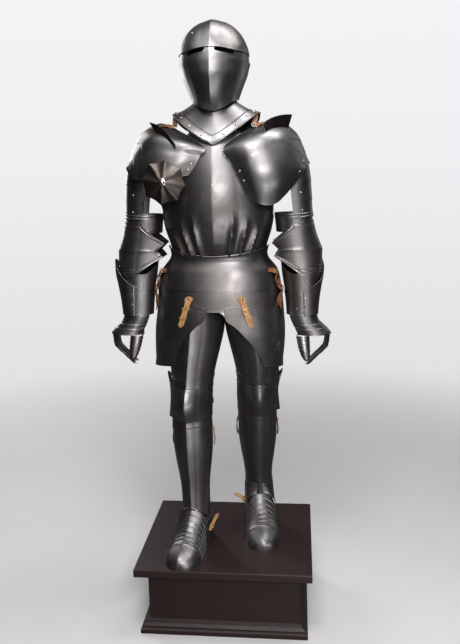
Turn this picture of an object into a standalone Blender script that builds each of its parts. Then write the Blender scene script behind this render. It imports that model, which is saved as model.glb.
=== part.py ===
"""A suit of plate armour that stands, hollow, on a wooden plinth.

Metres, +Z up. The origin is the middle of the plinth's underside, the armour faces -Y, and the
wearer's left is +X. Every plate is a thin sheet laid over the form of the limb or body that it
covers: a form is a table of sections, and a plate is a patch of it, lifted by its layer.
Angles go round a form in degrees, from 0 at the front to 90 at the outer side of a limb.
"""

import math
from collections import namedtuple

import bmesh
import bpy
from mathutils import Matrix, Vector

# Plinth
PLINTH_WIDTH = 0.588
PLINTH_DEPTH = 0.525
PLINTH_HEIGHT = 0.241
SLAB_THICKNESS = 0.027
SLAB_OVERHANG = 0.041
SLAB_ROUNDING = 0.003
BOARD_THICKNESS = 0.016
SEAM = 0.0003

# Sheet metal and leather
STEEL = 0.0015
LAYER = 0.0020
LEATHER = 0.0022

# The body's middle plane, a little to the wearer's right of the plinth's
MIDLINE = -0.018
RIGHT = -1
LEFT = 1

# Helmet: the visor turns about the pivots' line
PIVOT_Y = 0.008
PIVOT_Z = 1.852
PIVOT_RADIUS = 0.004
PIVOT_HOLE = 0.0046
PIVOT_HEAD = 0.0115
DOME_POWER = 2.5
CROWN_POWER = 2.2
SKULL_WIDTH = 0.1035
SKULL_RADIUS = 0.1205
VISOR_WIDTH = 0.1070
VISOR_RADIUS = 0.1245
VISOR_EARS = 9
KEEL_WIDTH = 45
BROW_LIFT = 0.0030
SIGHT_LOW = 1.8722
SIGHT_HIGH = 1.8866
SIGHT_INNER = 0.085
SIGHT_OUTER = 0.45


def table(columns, rows):
    """Rows of a table, each with its columns by name; the first column is the place of the row."""
    Row = namedtuple("Row", columns)
    return [Row(*row) for row in rows]


def read(rows, at, column):
    """The value of one column at a place between the rows, along a smooth curve through them."""
    at = min(max(at, rows[0][0]), rows[-1][0])
    index = 0
    while index < len(rows) - 2 and at > rows[index + 1][0]:
        index += 1

    def slope(row):
        before = rows[max(row - 1, 0)]
        after = rows[min(row + 1, len(rows) - 1)]
        return (getattr(after, column) - getattr(before, column)) / (after[0] - before[0])

    start = rows[index]
    end = rows[index + 1]
    span = end[0] - start[0]
    t = (at - start[0]) / span
    value = (2 * t**3 - 3 * t**2 + 1) * getattr(start, column)
    value += (t**3 - 2 * t**2 + t) * span * slope(index)
    value += (3 * t**2 - 2 * t**3) * getattr(end, column)
    value += (t**3 - t**2) * span * slope(index + 1)
    return value


def steps(start, end, count):
    """Evenly spaced stations from start to end, both included."""
    return [start + (end - start) * index / count for index in range(count + 1)]


def bell(value, middle, reach):
    """A smooth bump: 1 at the middle, 0 from the reach on."""
    away = min(abs(value - middle) / reach, 1.0)
    return 0.5 + 0.5 * math.cos(math.pi * away)


def sine(degrees):
    return math.sin(math.radians(degrees))


def cosine(degrees):
    return math.cos(math.radians(degrees))


# Sections of one leg: half width, half depth and the height of the keel down its front
LEG = table("z half_width half_depth keel", [
    (0.300, 0.0475, 0.0560, 0.000),
    (0.355, 0.0465, 0.0540, 0.002),
    (0.420, 0.0470, 0.0510, 0.004),
    (0.470, 0.0500, 0.0530, 0.005),
    (0.540, 0.0600, 0.0620, 0.006),
    (0.600, 0.0665, 0.0690, 0.006),
    (0.650, 0.0665, 0.0690, 0.006),
    (0.700, 0.0645, 0.0670, 0.006),
    (0.755, 0.0660, 0.0690, 0.007),
    (0.805, 0.0665, 0.0690, 0.008),
    (0.860, 0.0740, 0.0770, 0.008),
    (0.940, 0.0850, 0.0890, 0.008),
    (1.000, 0.0920, 0.0990, 0.008),
    (1.045, 0.0925, 0.1050, 0.006),
    (1.090, 0.0900, 0.1040, 0.004),
])
# Where each leg stands: its middle, and how far its front is turned outward
STANCE = {
    RIGHT: table("z x y turn", [
        (0.300, -0.1090, -0.044, 10),
        (0.420, -0.1110, -0.041, 9),
        (0.600, -0.1165, -0.030, 7),
        (0.755, -0.1175, -0.032, 6),
        (0.860, -0.1120, -0.018, 5),
        (1.000, -0.0970, -0.002, 4),
        (1.045, -0.0960, 0.000, 4),
        (1.090, -0.0960, 0.001, 4),
    ]),
    LEFT: table("z x y turn", [
        (0.300, 0.1050, 0.103, 7),
        (0.420, 0.1020, 0.100, 7),
        (0.600, 0.1010, 0.080, 6),
        (0.755, 0.1040, 0.045, 6),
        (0.860, 0.1055, 0.030, 5),
        (1.000, 0.0940, 0.014, 4),
        (1.045, 0.0900, 0.011, 4),
        (1.090, 0.0890, 0.009, 4),
    ]),
}
KEEL_SPREAD = 75
CUISSE_LOW = (0.8000, 0.8200, 0.8450)
FEET = {RIGHT: 10.7, LEFT: 7.0}
GREAVE_LOW = 0.3350

# Sections of one arm, measured outward from the midline
ARM = table("z x y half_width half_depth", [
    (1.040, 0.2790, -0.005, 0.0480, 0.0430),
    (1.100, 0.2770, 0.000, 0.0505, 0.0465),
    (1.150, 0.2755, 0.006, 0.0560, 0.0520),
    (1.190, 0.2745, 0.012, 0.0615, 0.0570),
    (1.230, 0.2715, 0.018, 0.0625, 0.0590),
    (1.270, 0.2650, 0.022, 0.0620, 0.0600),
    (1.320, 0.2560, 0.024, 0.0610, 0.0600),
    (1.380, 0.2490, 0.024, 0.0605, 0.0600),
    (1.440, 0.2430, 0.023, 0.0620, 0.0620),
    (1.500, 0.2350, 0.022, 0.0645, 0.0660),
    (1.560, 0.2200, 0.022, 0.0680, 0.0700),
    (1.610, 0.1980, 0.022, 0.0700, 0.0720),
])
# Sections of the hand below the wrist, in the same measure
HAND = table("z x y half_width half_depth", [
    (0.882, 0.2620, -0.004, 0.0460, 0.0380),
    (0.910, 0.2850, -0.003, 0.0500, 0.0430),
    (0.942, 0.3120, -0.002, 0.0555, 0.0460),
    (0.965, 0.3165, -0.002, 0.0560, 0.0470),
    (0.985, 0.3160, -0.002, 0.0560, 0.0470),
    (1.005, 0.3040, -0.002, 0.0530, 0.0450),
    (1.030, 0.2860, -0.004, 0.0480, 0.0420),
    (1.050, 0.2790, -0.005, 0.0474, 0.0424),
    (1.068, 0.2784, -0.004, 0.0476, 0.0428),
])
THUMB = table("z x y half_width half_depth", [
    (0.906, 0.2920, -0.062, 0.0060, 0.0060),
    (0.918, 0.2900, -0.058, 0.0120, 0.0110),
    (0.945, 0.2850, -0.050, 0.0170, 0.0150),
    (0.984, 0.2800, -0.036, 0.0200, 0.0170),
])

# Sections of the trunk about its middle: depths to the front and the back
TRUNK_Y = 0.030
TRUNK_POWER = 2.2
TRUNK = table("z half_width front back", [
    (0.890, 0.2050, 0.1300, 0.1400),
    (0.950, 0.2120, 0.1470, 0.1400),
    (1.000, 0.2140, 0.1590, 0.1400),
    (1.050, 0.2110, 0.1620, 0.1400),
    (1.100, 0.2070, 0.1560, 0.1370),
    (1.150, 0.2020, 0.1470, 0.1320),
    (1.200, 0.1900, 0.1340, 0.1200),
    (1.245, 0.1560, 0.1180, 0.0970),
    (1.280, 0.1560, 0.1340, 0.0960),
    (1.340, 0.1735, 0.1570, 0.1060),
    (1.400, 0.1815, 0.1680, 0.1160),
    (1.460, 0.1760, 0.1660, 0.1220),
    (1.520, 0.1630, 0.1550, 0.1250),
    (1.580, 0.1450, 0.1360, 0.1220),
    (1.620, 0.1200, 0.1200, 0.1130),
    (1.660, 0.0950, 0.1000, 0.1010),
])


def material(name, colour, roughness, metallic):
    shader = bpy.data.materials.new(name)
    shader.use_nodes = True
    principled = shader.node_tree.nodes["Principled BSDF"]
    principled.inputs["Base Color"].default_value = (*colour, 1.0)
    principled.inputs["Roughness"].default_value = roughness
    principled.inputs["Metallic"].default_value = metallic
    return shader


def add(name, mesh, shader, smooth=True):
    """A named object of the armour from a finished bmesh, which is freed."""
    data = bpy.data.meshes.new(name)
    mesh.to_mesh(data)
    mesh.free()
    data.materials.append(shader)
    if smooth:
        data.shade_smooth()
        data.set_sharp_from_angle(angle=math.radians(35))
    thing = bpy.data.objects.new(name, data)
    ARMOUR.objects.link(thing)
    return thing


def thicken(thing, thickness):
    solidify = thing.modifiers.new("wall", "SOLIDIFY")
    solidify.thickness = thickness
    solidify.offset = 1.0


def sheet(name, shader, across, up, place, thickness=STEEL, flip=False, gap=None):
    """A sheet over the stations across and up; place gives its inner face, and it thickens outward.

    Sheets whose first and last stations meet become rings. gap says where a face is left out.
    """
    mesh = bmesh.new()
    columns = len(across) - 1
    rows = len(up) - 1
    bmesh.ops.create_grid(mesh, x_segments=columns, y_segments=rows, size=0.5)
    stations = {}
    for vertex in mesh.verts:
        column = round((vertex.co.x + 0.5) * columns)
        row = round((vertex.co.y + 0.5) * rows)
        stations[vertex] = (across[column], up[row])
    if gap:
        open_faces = []
        for face in mesh.faces:
            middle = [sum(stations[v][axis] for v in face.verts) / 4 for axis in (0, 1)]
            if gap(*middle):
                open_faces.append(face)
        bmesh.ops.delete(mesh, geom=open_faces, context="FACES")
    for vertex in mesh.verts:
        vertex.co = place(*stations[vertex])
    bmesh.ops.remove_doubles(mesh, verts=mesh.verts, dist=0.00002)
    if flip:
        bmesh.ops.reverse_faces(mesh, faces=mesh.faces)
    thing = add(name, mesh, shader)
    thicken(thing, thickness)
    return thing


def leg_point(side, z, angle, lift=0.0, bulge=0.0):
    """A point of one leg's form; a bulge swells its front only."""
    keel = read(LEG, z, "keel") * max(0.0, 1 - abs(angle) / KEEL_SPREAD)
    front = bulge * max(0.0, cosine(angle)) ** 2
    across = (read(LEG, z, "half_width") + lift) * sine(angle)
    forward = (read(LEG, z, "half_depth") + lift + keel + front) * cosine(angle)
    turn = read(STANCE[side], z, "turn")
    x = across * cosine(turn) + forward * sine(turn)
    y = across * sine(turn) - forward * cosine(turn)
    middle = STANCE[side]
    return Vector((read(middle, z, "x") + side * x, read(middle, z, "y") + y, z))


def arm_point(side, rows, z, angle, lift=0.0, bulge=0.0):
    """A point of an arm's or hand's form; a bulge swells its outer side and back."""
    swell = bulge * max(0.0, sine(angle - 25)) ** 2
    x = read(rows, z, "x") + (read(rows, z, "half_width") + lift + swell) * sine(angle)
    y = read(rows, z, "y") - (read(rows, z, "half_depth") + lift + swell) * cosine(angle)
    return Vector((MIDLINE + side * x, y, z))


def trunk_point(z, angle, lift=0.0, forward=0.0):
    """A point of the trunk's form, 0 at the front and 90 at the wearer's left side."""
    depth = read(TRUNK, z, "front" if abs(angle) <= 90 else "back") + lift
    width = read(TRUNK, z, "half_width") + lift
    share = (1 - abs(sine(angle)) ** TRUNK_POWER) ** (1 / TRUNK_POWER)
    share = math.copysign(share, cosine(angle))
    return Vector((MIDLINE + width * sine(angle), TRUNK_Y - depth * share - forward, z))


def lifted(place, across, up, lift):
    """A place's point moved out along the sheet's normal."""
    step = 0.02
    point = place(across, up)
    side = place(across + step, up) - place(across - step, up)
    rise = place(across, up + step) - place(across, up - step)
    return point + side.cross(rise).normalized() * lift


def build_plinth(wood):
    half_width = PLINTH_WIDTH / 2
    half_depth = PLINTH_DEPTH / 2
    underside = PLINTH_HEIGHT - SLAB_THICKNESS

    def board(name, low, high, rounding):
        mesh = bmesh.new()
        size = [high[axis] - low[axis] for axis in range(3)]
        middle = [(high[axis] + low[axis]) / 2 for axis in range(3)]
        place = Matrix.Translation(middle) @ Matrix.Diagonal((*size, 1.0))
        bmesh.ops.create_cube(mesh, size=1.0, matrix=place)
        thing = add(name, mesh, wood)
        bevel = thing.modifiers.new("rounding", "BEVEL")
        bevel.width = rounding
        bevel.segments = 2

    board("plinth_slab", (-half_width, -half_depth, underside), (half_width, half_depth, PLINTH_HEIGHT),
          SLAB_ROUNDING)

    # Side boards with the base moulding in their profile: distance out from the inner face, height
    profile = table("out z", [
        (0.000, 0.000),
        (0.043, 0.000),
        (0.043, 0.014),
        (0.036, 0.018),
        (0.036, 0.025),
        (0.026, 0.032),
        (0.024, 0.038),
        (0.016, 0.042),
        (0.016, underside - SEAM),
        (0.000, underside - SEAM),
    ])
    inner_width = half_width - SLAB_OVERHANG - BOARD_THICKNESS
    inner_depth = half_depth - SLAB_OVERHANG - BOARD_THICKNESS
    sides = table("name turn reach length", [
        ("front", 0, inner_depth, inner_width),
        ("left", 90, inner_width, inner_depth),
        ("back", 180, inner_depth, inner_width),
        ("right", 270, inner_width, inner_depth),
    ])
    for side in sides:
        mesh = bmesh.new()
        ends = []
        for end in (-1, 1):
            ring = [mesh.verts.new((end * (side.length + row.out - SEAM), -side.reach - row.out, row.z))
                    for row in profile]
            ends.append(ring)
        mesh.faces.new(ends[0])
        mesh.faces.new(ends[1])
        for index in range(len(profile)):
            following = (index + 1) % len(profile)
            mesh.faces.new((ends[0][index], ends[1][index], ends[1][following], ends[0][following]))
        bmesh.ops.recalc_face_normals(mesh, faces=mesh.faces)
        bmesh.ops.rotate(mesh, verts=mesh.verts, cent=(0, 0, 0),
                         matrix=Matrix.Rotation(math.radians(side.turn), 3, "Z"))
        add("plinth_side_" + side.name, mesh, wood, smooth=False)
    board("plinth_floor_board", (-inner_width + SEAM, -inner_depth + SEAM, 0.0),
          (inner_width - SEAM, inner_depth - SEAM, 0.012), 0.001)


def dome_share(part, power=DOME_POWER):
    """What is left of a superellipse's other half axis at this part of the first."""
    return max(0.0, 1 - min(abs(part), 1.0) ** power) ** (1 / power)


# The visor's front below and above the pivots: half width at the sides, reach of the keel line,
# and how sharp the keel is
VISOR = table("z half_width reach keel", [
    (1.7060, 0.0600, 0.1090, 0.014),
    (1.7250, 0.0680, 0.1250, 0.015),
    (1.7450, 0.0735, 0.1380, 0.017),
    (1.7780, 0.0860, 0.1510, 0.019),
    (1.8100, 0.0985, 0.1580, 0.020),
    (1.8400, 0.1055, 0.1550, 0.017),
    (1.8520, 0.1070, 0.1525, 0.015),
    (1.8745, 0.1062, 0.1460, 0.013),
    (1.8860, 0.1050, 0.1415, 0.012),
    (1.9000, 0.1020, 0.1345, 0.012),
    (1.9300, 0.0880, 0.1150, 0.012),
    (1.9500, 0.0715, 0.0960, 0.011),
    (1.9650, 0.0520, 0.0720, 0.009),
    (1.9745, 0.0300, 0.0400, 0.005),
    (1.9775, 0.0000, 0.0000, 0.000),
])


def visor_point(z, turn, lift=0.0):
    """A point of the visor's inner face, keel down the front; a turn of 1 is its rear edge."""
    angle = turn * (90 + VISOR_EARS * bell(z, PIVOT_Z, 0.055))
    width = read(VISOR, z, "half_width")
    keel = read(VISOR, z, "keel")
    reach = read(VISOR, z, "reach") - keel
    share = math.copysign(dome_share(sine(angle)), cosine(angle))
    forward = (reach + lift) * share + keel * max(0.0, 1 - abs(angle) / KEEL_WIDTH)
    rise = lift * max(0.0, (z - PIVOT_Z) / VISOR_RADIUS) ** 2
    return Vector((MIDLINE + (width + lift) * sine(angle), PIVOT_Y - forward, z + rise))


def visor_low_edge(turn):
    """The chin hangs lowest, and the edge rises to the cheeks."""
    return 1.7060 + 0.038 * abs(sine(90 * turn)) ** 2.2


# The skull behind and below the pivots: half width, depth to the back
NAPE = table("z half_width back", [
    (1.7100, 0.0720, 0.1010),
    (1.7300, 0.0670, 0.0920),
    (1.7500, 0.0700, 0.0910),
    (1.7780, 0.0822, 0.0990),
    (1.8050, 0.0930, 0.1100),
    (1.8320, 0.1005, 0.1185),
    (1.8520, 0.1035, 0.1205),
])
# How far round from the front the skull's opening for the face reaches
FACE_OPENING = table("z angle", [
    (1.7100, 89),
    (1.8500, 89),
    (1.8800, 66),
    (1.9100, 38),
    (1.9350, 12),
    (1.9450, 0),
    (1.9800, 0),
])


def skull_point(z, turn):
    """A point of the skull's inner face: round about the pivots' line above, the nape below."""
    angle = 180 + turn * (180 - max(0.0, read(FACE_OPENING, z, "angle")))
    rise = z - PIVOT_Z
    if rise > 0:
        width = SKULL_WIDTH * dome_share(rise / SKULL_RADIUS, CROWN_POWER)
        depth = math.sqrt(max(0.0, SKULL_RADIUS**2 - rise**2))
    else:
        width = read(NAPE, z, "half_width")
        depth = read(NAPE, z, "back")
    share = math.copysign(dome_share(sine(angle)), cosine(angle))
    return Vector((MIDLINE - width * sine(angle), PIVOT_Y - depth * share, z))


def drill_pivots(thing, cutter):
    bore = thing.modifiers.new("pivot holes", "BOOLEAN")
    bore.operation = "DIFFERENCE"
    bore.object = cutter


def build_helmet(steel):
    turns = [-1, -0.86, -0.73, -0.60, -SIGHT_OUTER, -0.30, -0.16, -SIGHT_INNER]
    turns += [0] + [-turn for turn in reversed(turns)]

    mesh = bmesh.new()
    spin = Matrix.Translation((MIDLINE, PIVOT_Y, PIVOT_Z)) @ Matrix.Rotation(math.radians(90), 4, "Y")
    bmesh.ops.create_cone(mesh, cap_ends=True, segments=16, radius1=PIVOT_HOLE, radius2=PIVOT_HOLE,
                          depth=0.3, matrix=spin)
    cutter = add("pivot_cutter", mesh, steel, smooth=False)
    ARMOUR.objects.unlink(cutter)
    CUTTERS.objects.link(cutter)
    cutter.hide_render = True
    cutter.display_type = "WIRE"

    def face(turn, level):
        low = visor_low_edge(turn)
        levels = [low, low + 0.35 * (1.80 - low), low + 0.7 * (1.80 - low)]
        levels += [1.8100, 1.8430, SIGHT_LOW, SIGHT_HIGH, 1.8960]
        return visor_point(levels[level], turn)

    def sight(turn, level):
        return 5 < level < 6 and SIGHT_INNER < abs(turn) < SIGHT_OUTER

    drill_pivots(sheet("visor_face", steel, turns, list(range(8)), face, gap=sight), cutter)
    brow_levels = [SIGHT_HIGH, 1.9050, 1.9300, 1.9500, 1.9650, 1.9745, 1.9775]
    sheet("visor_brow", steel, turns, brow_levels, lambda turn, z: visor_point(z, turn, BROW_LIFT))

    skull_levels = [0.0, 0.25, 0.5, 0.75, 1.8520, 1.8800, 1.9100, 1.9350, 1.9450, 1.9600,
                    PIVOT_Z + SKULL_RADIUS]

    def skull(turn, level):
        if level >= 1:
            return skull_point(level, turn)
        low = 1.7432 - 0.0160 * (1 - abs(turn)) ** 0.8
        return skull_point(low + (PIVOT_Z - low) * level, turn)

    drill_pivots(sheet("helm_skull", steel, steps(-1, 1, 18), skull_levels, skull), cutter)

    # Turned pivot pins: radius and distance out from the middle plane
    visor_outside = VISOR_WIDTH + STEEL + SEAM
    profile = table("radius out", [
        (0.0, visor_outside + 0.0034),
        (0.0070, visor_outside + 0.0028),
        (PIVOT_HEAD, visor_outside + 0.0010),
        (PIVOT_HEAD, visor_outside),
        (PIVOT_RADIUS, visor_outside),
        (PIVOT_RADIUS, SKULL_WIDTH - 0.0015),
        (0.0, SKULL_WIDTH - 0.0015),
    ])
    for side, name in ((RIGHT, "right"), (LEFT, "left")):
        mesh = bmesh.new()
        points = [mesh.verts.new((row.radius, 0.0, row.out)) for row in profile]
        for start, end in zip(points, points[1:]):
            mesh.edges.new((start, end))
        pin = add("visor_pivot_" + name, mesh, steel)
        screw = pin.modifiers.new("turned", "SCREW")
        screw.steps = 16
        screw.render_steps = 16
        screw.use_merge_vertices = True
        screw.merge_threshold = 0.00005
        pin.location = (MIDLINE, PIVOT_Y, PIVOT_Z)
        pin.rotation_euler = (0.0, side * math.radians(90), 0.0)


def build_gorget(steel):
    def collar(angle, share):
        front = cosine(angle) > 0
        ring = Vector((0.0640 * sine(angle), 0.005 - 0.081 * cosine(angle),
                       1.7420 - 0.030 * max(0.0, cosine(angle)) ** 2))
        drop = 0.104 * (1 - abs(sine(angle)) ** 1.25) if front else 0.072 * -cosine(angle)
        rim = Vector((0.1430 * sine(angle), 0.020 - (0.1275 if front else 0.135) * cosine(angle),
                      1.7040 - drop))
        point = ring.lerp(rim, share)
        point.z = rim.z + (ring.z - rim.z) * max(0.0, 1 - share) ** 1.5
        point.x += MIDLINE
        return point

    down = [1.0, 0.88, 0.72, 0.48, 0.24, 0.0]
    sheet("gorget_front", steel, steps(-91, 91, 14), down, collar)
    sheet("gorget_back", steel, steps(91.4, 268.6, 12), down, collar)


TRUNK_STATIONS = [-89.9, -74, -60, -48, -38, -29, -20, -12, -5, 0, 5, 12, 20, 29, 38, 48, 60, 74, 89.9]
BACK_STATIONS = steps(90.05, 269.95, 12)


def front_keel(z, angle):
    """How far the front's middle ridge stands out."""
    height = (1 - 0.65 * min(1.0, max(0.0, (z - 1.24) / 0.40))) * min(1.0, max(0.0, (z - 1.255) / 0.040))
    return 0.013 * height * max(0.0, 1 - abs(angle) / 26)


def plackart_top(angle):
    """The plackart's upper edge: a cusp in the middle, lower towards the arms."""
    return 1.432 + 0.083 * max(0.0, 1 - abs(angle) / 21) ** 1.5 - 0.055 * bell(abs(angle), 88, 45)


def build_trunk(steel):
    def breast(angle, share):
        top = 1.648 - 0.11 * max(0.0, (abs(angle) - 46) / 42) ** 1.3
        bottom = plackart_top(angle) - 0.030
        z = bottom + (top - bottom) * share
        return trunk_point(z, angle, forward=front_keel(z, angle))

    sheet("breastplate", steel, TRUNK_STATIONS, steps(0, 1, 5), breast)

    def plackart(angle, share):
        top = plackart_top(angle)
        z = 1.2480 + (top - 1.2480) * share
        flute = TRUNK_STATIONS.index(angle) % 2 == 0 and 4 < abs(angle) < 60
        groove = 0.0040 * math.sin(math.pi * share) if flute else 0.0
        return trunk_point(z, angle, 0.0032 + groove, front_keel(z, angle))

    sheet("plackart", steel, TRUNK_STATIONS, [0.0, 0.2, 0.4, 0.6, 0.8, 1.0], plackart)

    def back(angle, share):
        top = 1.6370 - 0.10 * max(0.0, (134 - min(angle, 360 - angle)) / 42) ** 1.3
        return trunk_point(1.2480 + (top - 1.2480) * share, angle)

    sheet("backplate", steel, BACK_STATIONS, steps(0, 1, 6), back)

    def waist(angle, share):
        top = 1.2560 + 0.026 * abs(sine(angle)) ** 2
        z = 1.1450 + (top - 1.1450) * share
        return trunk_point(z, angle, 0.0042 + 0.0062 * share**3)

    belt = [-89.9, -74, -60, -48, -38, -29, -20, -10, -9, 0, 9, 10, 20, 29, 38, 48, 60, 74, 89.9]
    sheet("waist_plate", steel, TRUNK_STATIONS, [0.0, 0.3, 0.6, 0.82, 1.0], waist)

    def fauld(angle, share):
        low = 1.0900 + 0.030 * abs(sine(angle)) ** 3 - (0.012 if abs(angle) < 9.5 else 0.0)
        return trunk_point(low + (1.1700 - low) * share, angle, 0.0018)

    sheet("fauld_plate", steel, belt, [0.0, 0.35, 1.0], fauld)

    def culet(angle, share):
        return trunk_point(1.110 + (1.266 - 1.110) * share, angle, 0.0026 + 0.003 * share)

    sheet("culet", steel, BACK_STATIONS, steps(0, 1, 4), culet)


# One tasset from its low point to its top edge: the inner edge's place, and the outer edge's height
TASSET = table("share inner_x inner_z outer_z", [
    (0.00, 0.150, 0.884, 0.866),
    (0.20, 0.136, 0.928, 0.922),
    (0.40, 0.108, 0.978, 0.980),
    (0.58, 0.066, 1.028, 1.040),
    (0.74, 0.036, 1.052, 1.085),
    (1.00, 0.027, 1.088, 1.142),
])
TASSET_OUTER = 89.7
TASSET_LIFT = 0.0043
# How far a tasset's low corner swings out, and how far the right one's outer edge does
TASSET_HANG = 0.0025
TASSET_FLARE = {RIGHT: 0.020, LEFT: 0.0}
TASSET_STRAP = table("share x z half_width", [
    (0.00, 0.1150, 1.0260, 0.0060),
    (0.08, 0.1125, 1.0340, 0.0095),
    (0.60, 0.0950, 1.0870, 0.0095),
    (0.80, 0.0870, 1.1110, 0.0105),
    (0.88, 0.0845, 1.1190, 0.0140),
    (1.00, 0.0820, 1.1290, 0.0095),
])


def build_tasset(side, steel, leather):
    name = "right" if side == RIGHT else "left"

    def place(across, share):
        inner_z = read(TASSET, share, "inner_z")
        outer_z = read(TASSET, share, "outer_z")
        z = inner_z + (outer_z - inner_z) * across
        width = read(TRUNK, inner_z, "half_width") + TASSET_LIFT
        inner = math.degrees(math.asin(read(TASSET, share, "inner_x") / width))
        lift = TASSET_LIFT + TASSET_HANG * max(0.0, 1 - 2 * share) ** 1.5
        lift += TASSET_FLARE[side] * across**2 * max(0.0, 1 - 1.5 * share)
        return trunk_point(z, side * (inner + (TASSET_OUTER - inner) * across), lift)

    shares = [row.share for row in TASSET]
    sheet("tasset_" + name, steel, steps(0, 1, 8), shares, place, flip=side == RIGHT)

    def strap(across, share):
        z = read(TASSET_STRAP, share, "z")
        x = read(TASSET_STRAP, share, "x") + across * read(TASSET_STRAP, share, "half_width")
        width = read(TRUNK, z, "half_width") + TASSET_LIFT
        angle = math.degrees(math.asin(x / width))
        return trunk_point(z, side * angle, TASSET_LIFT + STEEL + 0.0005)

    strap_shares = [0.0, 0.08, 0.25, 0.42, 0.6, 0.80, 0.88, 0.95, 1.0]
    sheet("tasset_strap_" + name, leather, [-1, 0, 1], strap_shares, strap, LEATHER,
          flip=side == RIGHT)


# Each pauldron from its lower front edge up over the shoulder to its lower back edge. A row has
# four points, from the neck side to the outer side of the arm, measured outward from the midline.
PAULDRON_COLUMNS = ("row neck_x neck_y neck_z chest_x chest_y chest_z "
                    "shoulder_x shoulder_y shoulder_z arm_x arm_y arm_z")
SHOULDER_BACK = [
    (4, 0.150, -0.015, 1.668, 0.195, 0.015, 1.674, 0.256, 0.022, 1.636, 0.2998, 0.024, 1.542),
    (5, 0.135, 0.085, 1.645, 0.175, 0.095, 1.640, 0.236, 0.092, 1.605, 0.2880, 0.080, 1.540),
    (6, 0.095, 0.158, 1.530, 0.145, 0.155, 1.510, 0.205, 0.136, 1.495, 0.2680, 0.108, 1.500),
]
PAULDRON = {
    RIGHT: table(PAULDRON_COLUMNS, [
        (0, 0.078, -0.1147, 1.512, 0.125, -0.128, 1.505, 0.195, -0.120, 1.497, 0.262, -0.075, 1.500),
        (1, 0.053, -0.1153, 1.545, 0.115, -0.134, 1.540, 0.195, -0.122, 1.540, 0.281, -0.062, 1.526),
        (2, 0.040, -0.1105, 1.570, 0.110, -0.127, 1.578, 0.192, -0.108, 1.585, 0.291, -0.043, 1.540),
        (3, 0.031, -0.1029, 1.596, 0.105, -0.105, 1.620, 0.205, -0.072, 1.630, 0.2963, -0.015, 1.545),
    ] + SHOULDER_BACK),
    LEFT: table(PAULDRON_COLUMNS, [
        (0, 0.114, -0.1122, 1.438, 0.147, -0.126, 1.421, 0.194, -0.113, 1.422, 0.251, -0.082, 1.474),
        (1, 0.084, -0.1165, 1.495, 0.135, -0.146, 1.485, 0.203, -0.134, 1.487, 0.275, -0.072, 1.508),
        (2, 0.060, -0.1129, 1.545, 0.122, -0.143, 1.545, 0.200, -0.128, 1.550, 0.286, -0.060, 1.528),
        (3, 0.038, -0.1022, 1.594, 0.112, -0.112, 1.618, 0.205, -0.080, 1.630, 0.2963, -0.020, 1.545),
    ] + SHOULDER_BACK),
}


def pauldron_point(side, across, row):
    """A point of one pauldron's inner face; across runs from 0 at the neck to 3 at the arm."""
    columns = ("neck", "chest", "shoulder", "arm")
    point = Vector()
    for axis, letter in enumerate("xyz"):
        stations = table("across value", [
            (index, read(PAULDRON[side], row, column + "_" + letter))
            for index, column in enumerate(columns)])
        point[axis] = read(stations, across, "value")
    return Vector((MIDLINE + side * point.x, point.y, point.z))


# The upright haute pieces: where each stands on its pauldron, its height and its lean outward
HAUTE = {
    RIGHT: table("along across row height lean", [
        (0.0, 1.05, 2.20, 0.017, 0.00),
        (0.5, 1.38, 2.65, 0.025, 0.20),
        (1.0, 1.70, 3.15, 0.038, 0.60),
    ]),
    LEFT: table("along across row height lean", [
        (0.0, 1.58, 2.95, 0.028, -0.25),
        (0.5, 1.68, 3.30, 0.035, 0.05),
        (1.0, 1.80, 3.70, 0.043, 0.30),
    ]),
}


def build_shoulder(side, steel):
    name = "right" if side == RIGHT else "left"
    flip = side == RIGHT

    def pauldron(across, row):
        return pauldron_point(side, across, row)

    sheet("pauldron_" + name, steel, steps(0, 3, 9), [0, 0.5, 1, 1.6, 2.2, 2.8, 3.3, 3.7, 4.2, 4.6, 5.3, 6],
          pauldron, flip=flip)

    def haute(along, rise):
        blade = HAUTE[side]
        foot = lifted(pauldron, read(blade, along, "across"), read(blade, along, "row"),
                      side * (STEEL + 0.0014))
        outward = Vector((side * read(blade, along, "lean"), 0.0, 1.0)).normalized()
        return foot + outward * read(blade, along, "height") * rise

    sheet("haute_piece_" + name, steel, steps(0, 1, 5), [0, 0.5, 1], haute, flip=not flip)


BESAGEW_MIDDLE = Vector((MIDLINE - 0.152, -0.158, 1.491))
BESAGEW_POINT = 0.0720
BESAGEW_SCALLOP = 0.0615
BESAGEW_RISE = 0.019


def build_besagew(steel):
    """The scalloped disc before the wearer's right armpit: eight ribs run out to its points."""
    def place(angle, share):
        rib = round(angle / 22.5) % 2 == 0
        radius = share * (BESAGEW_POINT if rib else BESAGEW_SCALLOP)
        depth = BESAGEW_RISE * share**1.6 + (0.0 if rib else 0.0022 * share)
        return BESAGEW_MIDDLE + Vector((radius * sine(angle + 8), depth, radius * cosine(angle + 8)))

    sheet("besagew", steel, steps(0, 360, 16), [0.0, 0.16, 0.5, 1.0], place, flip=True)


# How far behind the arm's outer side each cuff's point stands, in degrees
CUFF_TURN = {RIGHT: 0, LEFT: 42}


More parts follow.
